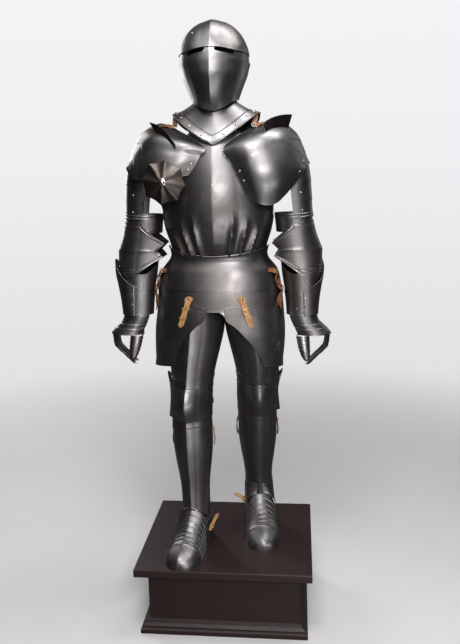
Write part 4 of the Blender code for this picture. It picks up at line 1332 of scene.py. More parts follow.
@dataclass
class Tasset(SidePart):
    """One thigh guard and the buckled strap that carries it."""

    buckle_shares: Sequence[float] = (0.46, 0.60)
    keeper_shares: Sequence[float] = (0.33, 0.62)
    keeper_half: float = 0.028
    hole_shares: Sequence[float] = (0.14, 0.24, 0.34)
    rivet_share: float = 0.91

    def build(self) -> None:
        """Builds the plate, its strap and its fittings."""
        def place(across: float, share: float) -> Vector:
            return TassetForm.plate(self.side, across, share)

        self.plate("tasset", refine(steps(0, 1, 8), 0.021), refine([0, 0.2, 0.4, 0.58, 0.74, 1.0], 0.02),
                   place, lip=0.0007, lip_width=0.0034)
        shares = refine([0.0, 0.02, 0.04, 0.08, 0.6, 0.8, 0.88, 0.96, 1.0], 0.02)

        def hole(across: float, share: float) -> bool:
            return abs(across) < 0.13 and min(abs(share - spot) for spot in self.hole_shares) < 0.011

        def band(across: float, share: float) -> Vector:
            return TassetForm.strap(self.side, self._trim(across, share), share)

        strap = Sheet("leather_tasset_strap_" + self.label, steps(-1, 1, 16), shares, band, Finish.TAN,
                      thickness=LEATHER, flip=self.right, gap=hole, rounding=0.0006,
                      stands_for=["tasset_strap_" + self.label]).build()
        self.build_brass(strap)
        self.build_keepers()

    @staticmethod
    def _trim(across: float, share: float) -> float:
        """The strap's width, rounded off at its tip and at its riveted head."""
        tip = min(1.0, (max(share, 0.0) / 0.07) ** 0.5)
        head = min(1.0, (max(1.0 - share, 0.0) / 0.06) ** 0.5)
        return across * min(tip, head)

    def build_brass(self, strap: Sheet) -> None:
        """Builds the rivet, and on the left the buckle with its two bars."""
        brass = Fittings("tasset_strap_brass_" + self.label, Finish.BRASS)
        brass.rivet(strap.outside(0.0, self.rivet_share), 0.0044)
        if not self.right:
            for share in self.buckle_shares:
                point, normal = strap.outside(0.0, share)
                onward = strap.outside(0.0, share + 0.03)[0] - point
                across = onward.normalized().cross(normal).normalized()
                ends = [point + across * reach * 0.0118 + normal * (0.0010 - 0.0035 * (abs(reach) > 0.95))
                        for reach in (-1.0, -0.9, -0.45, 0, 0.45, 0.9, 1.0)]
                brass.wire(ends, 0.0016, False)
            middle, normal = strap.outside(0.0, sum(self.buckle_shares) / 2)
            low, high = [strap.outside(0.0, share)[0] for share in self.buckle_shares]
            onward = high - low
            brass.buckle(middle + normal * 0.0008, onward, normal, 0.0225, onward.length, 0.0013)
        brass.build()

    def build_keepers(self) -> None:
        """Builds the leather loops over the strap: two on the right, one on the left."""
        def loop(across: float, share: float) -> Vector:
            lift = LEATHER + 0.0007 - 0.0030 * (abs(across) > 0.97)
            return TassetForm.strap(self.side, across * 1.16, share, lift)

        across = [-1, -0.96] + steps(-0.9, 0.9, 8) + [0.96, 1]
        spots = self.keeper_shares[::-1] if self.right else self.keeper_shares[:1]
        for number, spot in enumerate(spots):
            shares = steps(spot - self.keeper_half, spot + self.keeper_half, 6)
            Sheet("strap_keeper_%s_%d" % (self.label, number), across, shares, loop, Finish.TAN,
                  thickness=0.0014, flip=self.right, rounding=0.0004).build()


class ShoulderForm:
    """The pauldrons: each row has four points, from the neck side to the arm, from the midline out."""

    COLUMNS = ("row neck_x neck_y neck_z chest_x chest_y chest_z "
               "shoulder_x shoulder_y shoulder_z arm_x arm_y arm_z")
    BACK = [
        (4, 0.150, -0.015, 1.668, 0.195, 0.015, 1.674, 0.256, 0.022, 1.636, 0.2998, 0.024, 1.542),
        (5, 0.135, 0.085, 1.645, 0.175, 0.095, 1.640, 0.236, 0.092, 1.605, 0.2880, 0.080, 1.540),
        (6, 0.095, 0.158, 1.530, 0.145, 0.155, 1.510, 0.205, 0.136, 1.495, 0.2680, 0.108, 1.500),
    ]
    PLATES = {
        Side.RIGHT: Profile(COLUMNS, [
            (0, 0.078, -0.1147, 1.512, 0.125, -0.128, 1.505, 0.195, -0.120, 1.497, 0.262, -0.075, 1.500),
            (1, 0.053, -0.1153, 1.545, 0.115, -0.134, 1.540, 0.195, -0.122, 1.540, 0.281, -0.062, 1.526),
            (2, 0.040, -0.1105, 1.570, 0.110, -0.127, 1.578, 0.192, -0.108, 1.585, 0.291, -0.043, 1.540),
            (3, 0.031, -0.1029, 1.596, 0.105, -0.105, 1.620, 0.205, -0.072, 1.630, 0.2963, -0.015, 1.545),
        ] + BACK),
        Side.LEFT: Profile(COLUMNS, [
            (0, 0.114, -0.1122, 1.438, 0.147, -0.126, 1.421, 0.194, -0.113, 1.422, 0.251, -0.082, 1.474),
            (1, 0.084, -0.1165, 1.495, 0.135, -0.146, 1.485, 0.203, -0.134, 1.487, 0.275, -0.072, 1.508),
            (2, 0.060, -0.1129, 1.545, 0.122, -0.143, 1.545, 0.200, -0.128, 1.550, 0.286, -0.060, 1.528),
            (3, 0.038, -0.1022, 1.594, 0.112, -0.112, 1.618, 0.205, -0.080, 1.630, 0.2963, -0.020, 1.545),
        ] + BACK),
    }
    HAUTE = {
        Side.RIGHT: Profile("along across row height lean", [
            (0.0, 1.05, 2.20, 0.017, 0.00),
            (0.5, 1.38, 2.65, 0.025, 0.20),
            (1.0, 1.70, 3.15, 0.038, 0.60),
        ]),
        Side.LEFT: Profile("along across row height lean", [
            (0.0, 1.58, 2.95, 0.028, -0.25),
            (0.5, 1.68, 3.30, 0.035, 0.05),
            (1.0, 1.80, 3.70, 0.043, 0.30),
        ]),
    }

    @classmethod
    def point(cls, side: Side, across: float, row: float) -> Vector:
        """A point of one pauldron's inner face; across runs from 0 at the neck to 3 at the arm."""
        sections = cls.PLATES[side]
        point = []
        for letter in "xyz":
            stations = [(index, sections.read(row, column + "_" + letter))
                        for index, column in enumerate(("neck", "chest", "shoulder", "arm"))]
            point.append(Profile("across value", stations).read(across, "value"))
        return Vector((MIDLINE + side.value * point[0], point[1], point[2]))

    @classmethod
    def lifted(cls, side: Side, across: float, row: float, lift: float) -> Vector:
        """A point above the pauldron, out along its normal."""
        step = 0.02
        run = cls.point(side, across + step, row) - cls.point(side, across - step, row)
        rise = cls.point(side, across, row + step) - cls.point(side, across, row - step)
        return cls.point(side, across, row) + run.cross(rise).normalized() * lift * side.value


@dataclass
class Shoulder(SidePart):
    """One pauldron with its upright haute piece, its lames, rivets and lacing strap."""

    lame_edges: Sequence[float] = (2.30, 2.66)
    lame_step: float = 0.0013
    lame_run: float = 0.03

    RIVETS = {Side.RIGHT: ((0.24, 0.55), (0.24, 1.05)), Side.LEFT: ((0.30, 1.55), (0.34, 1.02))}
    LACING = {Side.RIGHT: (0.15, 0.60, 1.10, 1.60), Side.LEFT: (0.12, 0.45, 0.80, 1.15)}

    def lames(self, across: float, row: float) -> float:
        """The overlapping lames at the arm side, and the line of the upper plate."""
        stand = 0.0
        for edge in self.lame_edges:
            stand -= self.lame_step * ramp(across, edge, edge + self.lame_run)
        if not self.right:
            line = 2.15 + 0.42 * (across - 0.8)
            over = ramp(row, line - self.lame_run, line + self.lame_run)
            stand += self.lame_step * over * ramp(across, 0.7, 1.1)
        return stand + 2 * self.lame_step

    def build(self) -> None:
        """Builds the pauldron and what sits on it."""
        side = self.side
        across = refine(steps(0, 3, 9), 0.056)
        across += [station for edge in self.lame_edges for station in steps(edge, edge + self.lame_run, 2)]
        pauldron = self.plate("pauldron", sorted(set(across)), refine(steps(0, 6, 12), 0.1),
                              lambda across, row: ShoulderForm.point(side, across, row), relief=self.lames,
                              roll=Edge.START, roll_radius=0.0017)
        blade = ShoulderForm.HAUTE[side]

        def haute(along: float, rise: float) -> Vector:
            foot = ShoulderForm.lifted(side, blade.read(along, "across"), blade.read(along, "row"),
                                       STEEL + 0.0014 + 2 * self.lame_step)
            outward = Vector((side.value * blade.read(along, "lean"), 0.0, 1.0)).normalized()
            return foot + outward * blade.read(along, "height") * rise

        self.plate("haute_piece", steps(0, 1, 40), steps(0, 1, 14), haute, finish=Finish.RUSSET,
                   flip=not self.right, lip=0.0003)
        rivets = Fittings("rivets_pauldron_" + self.label, Finish.BRIGHT)
        rivets.rivets(pauldron, self.RIVETS[side], 0.0040)
        rivets.rivets(pauldron, [(2.86, row) for row in (1.4, 2.6, 3.9, 5.0)], 0.0028)
        rivets.build()
        self.build_strap()

    def build_strap(self) -> None:
        """The strap from the gorget's corner over the top of the pauldron, with its buckle."""
        side = self.side
        lift = STEEL + 2 * self.lame_step + 0.0030
        corner = Gorget.collar(side.value * 84, 0.86) + Vector((0, 0, 0.0035))
        spots = [ShoulderForm.lifted(side, across, 3.70 - 0.05 * across, lift)
                 for across in self.LACING[side]]
        route = [corner, corner.lerp(spots[0], 0.5) + Vector((0, 0, 0.002))] + spots
        leans = (0.5, 0.5, 0.35, 0.2, 0.1, 0.2)
        upward = [Vector((side.value * lean, -0.45, 1.0)).normalized() for lean in leans]
        Strap("shoulder_strap_" + self.label, route, upward, 0.0075, finish=Finish.BROWN).build()
        buckles = Fittings("shoulder_buckle_" + self.label, Finish.BRIGHT)
        buckles.buckle(route[2] + upward[2] * 0.0040, route[3] - route[1], upward[2], 0.022, 0.016, 0.0014)
        buckles.rivet((route[0] + upward[0] * 0.0028, upward[0]), 0.0034)
        buckles.build()


@dataclass
class Besagew:
    """The scalloped disc before the wearer's right armpit: eight ridges run out to its points."""

    middle: Vector = field(default_factory=lambda: Vector((MIDLINE - 0.152, -0.158, 1.491)))
    point: float = 0.0720
    scallop: float = 0.0615
    rise: float = 0.019
    turn: float = 8.0

    def place(self, angle: float, share: float) -> Vector:
        """A point of the disc's inner face, from its middle at share 0 to its edge at share 1."""
        part = (angle % 45) / 45
        between = sine(180 * part)
        radius = share * (self.point - (self.point - self.scallop) * between**0.75)
        depth = self.rise * share**1.6 + 0.0024 * share * between**1.2
        heading = angle + self.turn
        return self.middle + Vector((radius * sine(heading), depth, radius * cosine(heading)))

    def build(self) -> None:
        """Builds the disc and its boss."""
        def rib(angle: float, share: float) -> float:
            return 0.0009 * bell((angle + 22.5) % 45, 22.5, 3.2) * ramp(share, 0.12, 0.25)

        plate("besagew", steps(0, 360, 200), refine([0, 0.16, 0.5, 1.0], 0.04), self.place,
              finish=Finish.RUSSET, flip=True, relief=rib, lip=0.0003, lip_width=0.0020)
        boss = Fittings("besagew_boss", Finish.BRIGHT)
        outward = Vector((0, -1, 0))
        boss.rivet((self.middle + outward * STEEL, outward), 0.0085, 0.75)
        boss.rivet((self.middle + outward * STEEL * 0.8, outward), 0.0120, 0.18)
        boss.build()


class ArmForm:
    """The forms of an arm, its hand and its thumb, measured outward from the midline."""

    ARM = Profile("z x y half_width half_depth", [
        (1.040, 0.2790, -0.005, 0.0480, 0.0430),
        (1.100, 0.2770, 0.000, 0.0505, 0.0465),
        (1.150, 0.2755, 0.006, 0.0560, 0.0520),
        (1.190, 0.2745, 0.012, 0.0615, 0.0570),
        (1.230, 0.2715, 0.018, 0.0625, 0.0590),
        (1.270, 0.2650, 0.022, 0.0620, 0.0600),
        (1.320, 0.2560, 0.024, 0.0610, 0.0600),
        (1.380, 0.2490, 0.024, 0.0605, 0.0600),
        (1.440, 0.2430, 0.023, 0.0620, 0.0620),
        (1.500, 0.2350, 0.022, 0.0645, 0.0660),
        (1.560, 0.2200, 0.022, 0.0680, 0.0700),
        (1.610, 0.1980, 0.022, 0.0700, 0.0720),
    ])
    HAND = Profile("z x y half_width half_depth", [
        (0.882, 0.2620, -0.004, 0.0460, 0.0380),
        (0.910, 0.2850, -0.003, 0.0500, 0.0430),
        (0.942, 0.3120, -0.002, 0.0555, 0.0460),
        (0.965, 0.3165, -0.002, 0.0560, 0.0470),
        (0.985, 0.3160, -0.002, 0.0560, 0.0470),
        (1.005, 0.3040, -0.002, 0.0530, 0.0450),
        (1.030, 0.2860, -0.004, 0.0480, 0.0420),
        (1.050, 0.2790, -0.005, 0.0474, 0.0424),
        (1.068, 0.2784, -0.004, 0.0476, 0.0428),
    ])
    THUMB = Profile("z x y half_width half_depth", [
        (0.906, 0.2920, -0.062, 0.0060, 0.0060),
        (0.918, 0.2900, -0.058, 0.0120, 0.0110),
        (0.945, 0.2850, -0.050, 0.0170, 0.0150),
        (0.984, 0.2800, -0.036, 0.0200, 0.0170),
    ])

    @staticmethod
    def point(side: Side, rows: Profile, z: float, angle: float, lift: float = 0.0,
              bulge: float = 0.0) -> Vector:
        """A point of an arm's or hand's form; a bulge swells its outer side and back."""
        swell = bulge * max(0.0, sine(angle - 25)) ** 2
        x = rows.read(z, "x") + (rows.read(z, "half_width") + lift + swell) * sine(angle)
        y = rows.read(z, "y") - (rows.read(z, "half_depth") + lift + swell) * cosine(angle)
        return Vector((MIDLINE + side.value * x, y, z))


@dataclass
class Arm(SidePart):
    """One arm from the lames under the pauldron to the finger plates."""

    ring_low: float = 1.3250
    ring_height: float = 0.0630
    lames_low: float = 1.3740
    lame_height: float = 0.0560
    elbow: float = 1.2680
    elbow_low: float = 1.1850
    elbow_high: float = 1.3620
    cuff_low: float = 1.0530
    vambrace_low: float = 1.0750
    vambrace_high: float = 1.2400
    hand_low: float = 0.9850
    hand_height: float = 0.081
    fingers_low: float = 0.882
    fingers_height: float = 0.112
    thumb_low: float = 0.906
    thumb_height: float = 0.078
    palm_height: float = 0.9900

    CUFF_TURN = {Side.RIGHT: 0, Side.LEFT: 42}
    PALM = ((-64, -0.004), (-85, -0.006), (-110, -0.008), (-140, -0.008), (-175, -0.006), (-205, -0.004))

    def at(self, z: float, angle: float, lift: float = 0.0, bulge: float = 0.0) -> Vector:
        """A point of this arm."""
        return ArmForm.point(self.side, ArmForm.ARM, z, angle, lift, bulge)

    def build(self) -> None:
        """Builds the arm's plates, rivets and straps."""
        rivets = Fittings("rivets_arm_" + self.label, Finish.BRIGHT)
        self.build_upper(rivets)
        self.build_couter(rivets)
        self.build_fore(rivets)
        self.build_hand(rivets)
        rivets.build()
        self.build_straps()

    def build_upper(self, rivets: Fittings) -> None:
        """The turner ring and the lames above it."""
        def ring(angle: float, share: float) -> Vector:
            return self.at(self.ring_low + self.ring_height * share, angle)

        def beads(angle: float, share: float) -> float:
            return 0.0012 * max(bell(share, 0.88, 0.05), bell(share, 0.74, 0.04), bell(share, 0.12, 0.06))

        shares = refine([0, 0.06, 0.12, 0.18, 0.68, 0.72, 0.76, 0.80, 0.83, 0.88, 0.93, 1.0], 0.05)
        self.plate("turner_ring", steps(0, 360, 72), shares, ring, relief=beads, lip=0.0003)

        def lames(angle: float, level: float) -> Vector:
            lame = min(int(level), 2)
            slant = 0.0024 * (cosine(2 * angle - 180) - 1) * (level > 0)
            z = self.lames_low + self.lame_height * level + slant
            return self.at(z, angle, 0.0024 + 0.0012 * lame)

        def bands(angle: float, level: float) -> float:
            ring_beads = 0.0020 * max(bell(level, 0.07, 0.05), bell(level, 0.24, 0.05))
            return ring_beads + 0.0005 * bell(level % 1, 0.04, 0.05)

        levels = [0.035, 0.07, 0.12, 0.15, 0.17, 0.22, 0.24, 0.26, 0.28, 0.31]
        shares = (0.0, 0.02, 0.05, 0.10, 0.2, 0.35, 0.5, 0.65, 0.8, 0.92, 0.97, 0.999)
        levels += [lame + share for lame in range(3) for share in shares]
        upper = self.plate("upper_arm_lames", refine(steps(0, 180, 10), 3.0), sorted(set(levels)), lames,
                           relief=bands, lip=0.0003)
        places = [(angle, level + 0.45) for level in range(3) for angle in (28, 150)]
        rivets.rivets(upper, places, 0.0032)

    def build_couter(self, rivets: Fittings) -> None:
        """The elbow's couter with its heart-shaped wing."""
        def place(angle: float, share: float) -> Vector:
            inward = max(0.0, -angle, angle - 180) / 54
            top = self.elbow_high - 0.070 * inward**0.8
            low = self.elbow_low - 0.006 * max(0.0, sine(angle)) + 0.062 * inward
            z = along_marks((low, self.elbow, top), share * 2)
            tent = 1 - abs(share - 0.5) * 2
            point = self.at(z, angle, 0.0024, 0.016 * tent**1.4)
            wing = 0.60 * inward * (ArmForm.ARM.read(z, "half_width") + LAYER) * sine(angle)
            point.x += self.side.value * (wing + 0.022 * inward**4 * tent)
            point.y -= 0.010 * inward * (1 if angle < 90 else -1)
            return point

        def borders(angle: float, share: float) -> float:
            line = max(bell(share, 0.085, 0.018), bell(share, 0.915, 0.018), bell(share, 0.13, 0.012))
            fold = bell(share, 0.5, 0.05) * (0.3 + 0.7 * ramp(abs(angle - 90), 50, 120))
            return 0.0011 * line + 0.0016 * fold

        shares = [0, 0.06, 0.075, 0.085, 0.095, 0.11, 0.12, 0.13, 0.14, 0.45, 0.475, 0.49, 0.5, 0.51, 0.525,
                  0.55, 0.89, 0.905, 0.915, 0.925, 0.94, 1.0]
        couter = self.plate("couter", refine(steps(-54, 234, 16), 3.2), refine(shares, 0.035), place,
                            relief=borders, lip=0.0004)
        rivets.rivets(couter, [(70, 0.21), (110, 0.21)], 0.0026)

    def build_fore(self, rivets: Fittings) -> None:
        """The vambrace and the flared cuff over it."""
        def seam(angle: float, share: float) -> float:
            return 0.0009 * (bell(angle, 96, 3.5) + bell(angle, 276, 3.5))

        around = sorted(set(steps(0, 360, 80) + steps(93, 99, 4) + steps(273, 279, 4)))

        def tube(angle: float, share: float) -> Vector:
            top = self.vambrace_high - 0.050 * bell((angle + 110) % 360, 90, 90)
            return self.at(self.vambrace_low + (top - self.vambrace_low) * share, angle)

        self.plate("vambrace", around, steps(0, 1, 20), tube, relief=seam, lip=0.0005)

        def cuff(angle: float, share: float) -> Vector:
            outward = sine(angle - self.CUFF_TURN[self.side])
            height = 0.0970 + 0.030 * outward + 0.058 * max(0.0, outward) ** 3
            flare = 0.018 * max(0.0, outward) * height * share / 0.187
            return self.at(self.cuff_low + height * share, angle, 0.0024 + flare)

        def lap(angle: float, share: float) -> float:
            turn = angle if angle < 180 else angle - 360
            return 0.0010 * (1 - ramp(abs(turn - 8), 0, 3) if turn < 8 else 1 - ramp(abs(turn - 60), 40, 54))

        gauntlet = self.plate("gauntlet_cuff", steps(0, 360, 96), steps(0, 1, 24), cuff, relief=lap,
                              lip=0.0005)
        places = [(12, 0.70), (12, 0.36), (340, 0.30), (150, 0.30), (210, 0.30)]
        rivets.rivets(gauntlet, places, 0.0030)

    def build_hand(self, rivets: Fittings) -> None:
        """The plates over the back of the hand, the four fingers and the thumb."""
        def back(angle: float, share: float) -> Vector:
            return ArmForm.point(self.side, ArmForm.HAND, self.hand_low + self.hand_height * share, angle)

        def knuckles(angle: float, share: float) -> float:
            wave = 0.5 + 0.5 * cosine(4 * (angle - 45))
            bumps = 0.0022 * bell(share, 0.10, 0.10) * wave * bell(angle, 90, 60)
            step = 0.0011 * (2 - ramp(share, 0.43, 0.46) - ramp(share, 0.24, 0.27))
            return bumps + step

        shares = refine([0, 0.24, 0.255, 0.27, 0.43, 0.445, 0.46, 1.0], 0.04)
        hand = self.plate("hand_plate", refine(steps(-60, 150, 14), 3.0), shares, back, relief=knuckles,
                          lip=0.0004)
        rivets.rivets(hand, [(-48, 0.30), (-50, 0.62), (140, 0.30), (140, 0.62)], 0.0026)

        def fingers(angle: float, share: float) -> Vector:
            groove = 0.0060 * abs(cosine(4 * (angle - 45))) ** 1.5 * (1 - share)
            z = self.fingers_low + self.fingers_height * share
            return ArmForm.point(self.side, ArmForm.HAND, z, angle, -0.0037 - groove)

        def scales(angle: float, share: float) -> float:
            part = (share * 6) % 1
            return 0.0013 * (1 - part) * ramp(part, 0.0, 0.06) * ramp(share, 0.0, 0.1)

        rows = [(scale + share) / 6 for scale in range(6) for share in (0, 0.06, 0.3, 0.6, 0.99)] + [1.0]
        knuckled = self.plate("fingers", refine(steps(45, 135, 8), 1.4), rows, fingers, relief=scales)
        rivets.rivets(knuckled, [(angle, 0.93) for angle in steps(56.2, 123.7, 3)], 0.0024)

        def thumb(angle: float, share: float) -> Vector:
            return ArmForm.point(self.side, ArmForm.THUMB, self.thumb_low + self.thumb_height * share, angle)

        self.plate("thumb", refine(steps(-110, 110, 8), 7.0), rows, thumb, relief=scales)

    def build_straps(self) -> None:
        """The strap inside the palm, and the strap that hangs inside the upper arm."""
        sign = self.side.value
        palm = [ArmForm.point(self.side, ArmForm.HAND, self.palm_height, angle, lift)
                for angle, lift in self.PALM]
        outward = [Vector((sign * sine(angle), -cosine(angle), 0.0)) for angle, lift in self.PALM]
        Strap("palm_strap_" + self.label, palm, outward, 0.0100, finish=Finish.BROWN, tip=False).build()
        route = [self.at(z, angle, lift) for z, angle, lift in (
            (1.4400, -60, 0.004), (1.4200, -66, 0.005), (1.3980, -72, 0.009), (1.3700, -74, 0.008))]
        inward = [Vector((-sign, -0.35, 0.1)).normalized()] * 4
        Strap("arm_strap_" + self.label, route, inward, 0.0065, finish=Finish.BROWN).build()


class LegForm:
    """The form of a leg: half width, half depth and the height of the keel down its front."""

    SECTIONS = Profile("z half_width half_depth keel", [
        (0.300, 0.0475, 0.0560, 0.000),
        (0.355, 0.0465, 0.0540, 0.002),
        (0.420, 0.0470, 0.0510, 0.004),
        (0.470, 0.0500, 0.0530, 0.005),
        (0.540, 0.0600, 0.0620, 0.006),
        (0.600, 0.0665, 0.0690, 0.006),
        (0.650, 0.0665, 0.0690, 0.006),
        (0.700, 0.0645, 0.0670, 0.006),
        (0.755, 0.0660, 0.0690, 0.007),
        (0.805, 0.0665, 0.0690, 0.008),
        (0.860, 0.0740, 0.0770, 0.008),
        (0.940, 0.0850, 0.0890, 0.008),
        (1.000, 0.0920, 0.0990, 0.008),
        (1.045, 0.0925, 0.1050, 0.006),
        (1.090, 0.0900, 0.1040, 0.004),
    ])
    STANCE = {
        Side.RIGHT: Profile("z x y turn", [
            (0.300, -0.1090, -0.044, 10),
            (0.420, -0.1110, -0.041, 9),
            (0.600, -0.1165, -0.030, 7),
            (0.755, -0.1175, -0.032, 6),
            (0.860, -0.1120, -0.018, 5),
            (1.000, -0.0970, -0.002, 4),
            (1.045, -0.0960, 0.000, 4),
            (1.090, -0.0960, 0.001, 4),
        ]),
        Side.LEFT: Profile("z x y turn", [
            (0.300, 0.1050, 0.103, 7),
            (0.420, 0.1020, 0.100, 7),
            (0.600, 0.1010, 0.080, 6),
            (0.755, 0.1040, 0.045, 6),
            (0.860, 0.1055, 0.030, 5),
            (1.000, 0.0940, 0.014, 4),
            (1.045, 0.0900, 0.011, 4),
            (1.090, 0.0890, 0.009, 4),
        ]),
    }
    KEEL_SPREAD = 75
    FEET = {Side.RIGHT: 10.7, Side.LEFT: 7.0}

    @classmethod
    def point(cls, side: Side, z: float, angle: float, lift: float = 0.0, bulge: float = 0.0) -> Vector:
        """A point of one leg's form; a bulge swells its front only."""
        keel = cls.SECTIONS.read(z, "keel") * max(0.0, 1 - abs(angle) / cls.KEEL_SPREAD)
        front = bulge * max(0.0, cosine(angle)) ** 2
        across = (cls.SECTIONS.read(z, "half_width") + lift) * sine(angle)
        forward = (cls.SECTIONS.read(z, "half_depth") + lift + keel + front) * cosine(angle)
        stance = cls.STANCE[side]
        turn = stance.read(z, "turn")
        x = across * cosine(turn) + forward * sine(turn)
        y = across * sine(turn) - forward * cosine(turn)
        return Vector((stance.read(z, "x") + side.value * x, stance.read(z, "y") + y, z))


@dataclass
class Leg(SidePart):
    """One leg from the cuisse to the greave."""

    cuisse_low: Sequence[float] = (0.8000, 0.8200, 0.8450)
    cuisse_high: float = 1.0350
    poleyn_low: float = 0.7020
    poleyn_high: float = 0.8120
    shin_low: float = 0.6700
    greave_low: float = 0.3350
    greave_high: float = 0.6850
    strap_height: float = 0.6420

    CLOSURES = (("thigh_high", 0.9550, 122, 0.0025), ("thigh_low", 0.8700, 122, 0.0025),
                ("knee", 0.7500, 106, 0.0068))
    GREAVE_STRAP = ((0.020, -7, 0.0022), (0.010, 0, 0.0030), (-0.008, 3, 0.0060), (-0.030, -2, 0.0070),
                    (-0.052, -5, 0.0050))

    def away(self, point: Vector, z: float) -> Vector:
        """The level way out of the leg at a point, from the leg's middle at a height."""
        out = point - self.at(z, 0.0).lerp(self.at(z, 180.0), 0.5)
        return Vector((out.x, out.y, 0.0)).normalized()

    def at(self, z: float, angle: float, lift: float = 0.0, bulge: float = 0.0) -> Vector:
        """A point of this leg."""
        return LegForm.point(self.side, z, angle, lift, bulge)

    def build(self) -> None:
        """Builds the leg's plates, rivets and straps."""
        rivets = Fittings("rivets_leg_" + self.label, Finish.STEEL)
        self.build_thigh(rivets)
        self.build_knee(rivets)
        self.build_shin(rivets)
        rivets.build()
        self.build_straps()

    def build_thigh(self, rivets: Fittings) -> None:
        """The cuisse and the lame that laps its lower edge."""
        def cuisse(angle: float, level: float) -> Vector:
            top = self.cuisse_high + 0.045 * bell(angle, -35, 75) - 0.05 * bell(abs(angle), 140, 60)
            if level <= 2:
                return self.at(along_marks(self.cuisse_low, level), angle)
            return self.at(self.cuisse_low[2] + (top - self.cuisse_low[2]) * (level - 2) / 3, angle)

        around = sorted(set(refine(steps(-135, 135, 18), 3.0) + [-22.5, -1.5, 1.5, 22.5]))
        thigh = self.plate("cuisse", around, refine(list(range(6)), 0.125), cuisse, lip=0.0003,
                           relief=lambda angle, level: crease(angle))
        rivets.rivets(thigh, [(-122, 2.6), (122, 2.6), (-122, 4.2), (122, 4.2)], 0.0030)

        def lame(angle: float, level: float) -> Vector:
            return self.at(along_marks(self.cuisse_low, level), angle, 0.0024)

        knee_lame = self.plate("knee_lame", refine(steps(-120, 120, 16), 2.5), steps(0, 2, 14), lame,
                               relief=lambda angle, level: crease(angle), lip=0.0002)
        rivets.rivets(knee_lame, [(-104, 1.1), (104, 1.1)], 0.0026)

    def build_knee(self, rivets: Fittings) -> None:
        """The poleyn with its side wing."""
        def poleyn(angle: float, share: float) -> Vector:
            wing = bell(angle, 92, 34)
            low = self.poleyn_low - 0.006 * wing
            top = self.poleyn_high + 0.040 * wing
            point = self.at(low + (top - low) * share, angle, 0.0046, 0.016 * math.sin(math.pi * share))
            point.x += self.side.value * wing * 0.010 * abs(2 * share - 1)
            return point

        def ribs(angle: float, share: float) -> float:
            wing = bell(angle, 92, 30)
            edges = 0.0006 * (bell(share, 0.08, 0.03) + bell(share, 0.92, 0.03))
            return crease(angle, 0.0070, 30) + 0.0016 * wing * bell(share, 0.5, 0.06) + edges

        shares = refine([0, 0.05, 0.08, 0.11, 0.44, 0.5, 0.56, 0.89, 0.92, 0.95, 1.0], 0.035)
        knee = self.plate("poleyn", refine(steps(-120, 120, 16), 2.6), shares, poleyn, relief=ribs,
                          lip=0.0004)
        places = [(-108, 0.25), (-108, 0.75), (112, 0.25), (112, 0.75), (62, 0.16), (62, 0.84)]
        rivets.rivets(knee, places, 0.0030)

    def build_shin(self, rivets: Fittings) -> None:
        """The shin lame and the two halves of the greave."""
        front = steps(-105, 105, 14)
        lame = self.plate("shin_lame", refine(front, 3.0), steps(0, 1, 12),
                          lambda angle, share: self.at(self.shin_low + 0.042 * share, angle, 0.0022),
                          relief=lambda angle, share: crease(angle) + 0.0008 * bell(share, 0.30, 0.10),
                          lip=0.0002)
        rivets.rivets(lame, [(-92, 0.5), (92, 0.5)], 0.0026)

        def greave(angle: float, share: float) -> Vector:
            low = self.greave_low + 0.0480 * max(0.0, cosine(angle)) ** 1.5
            return self.at(low + (self.greave_high - low) * share, angle)

        self.plate("greave_front", refine([-104.7] + front[1:-1] + [104.7], 2.5), steps(0, 1, 46), greave,
                   relief=lambda angle, share: crease(angle, 0.0055), lip=0.0003)
        rear = refine([105.3] + steps(120, 240, 8) + [254.7], 3.4)
        self.plate("greave_back", rear, steps(0, 1, 40), greave, lip=0.0005)

    def build_straps(self) -> None:
        """The straps that close the leg behind, and the greave's side straps with their buckles."""
        for title, z, start, lift in self.CLOSURES:
            route = [self.at(z, angle, lift) for angle in steps(start, 360 - start, 6)]
            outward = [self.away(point, z) for point in route]
            Strap(title + "_strap_" + self.label, route, outward, 0.0100, finish=Finish.BROWN,
                  tip=False).build()
        buckles = Fittings("greave_buckles_" + self.label, Finish.BRASS)
        for number, angle in enumerate((-100, 100)):
            route = [self.at(self.strap_height + rise, angle + turn, lift)
                     for rise, turn, lift in self.GREAVE_STRAP]
            outward = self.away(route[1], self.strap_height)
            Strap("greave_strap_%s_%d" % (self.label, number), route, [outward] * 5, 0.0065,
                  finish=Finish.TAN if number == 0 and self.right else Finish.BROWN).build()
            buckles.buckle(route[1] + outward * 0.0042, route[2] - route[0], outward, 0.018, 0.013)
        buckles.build()


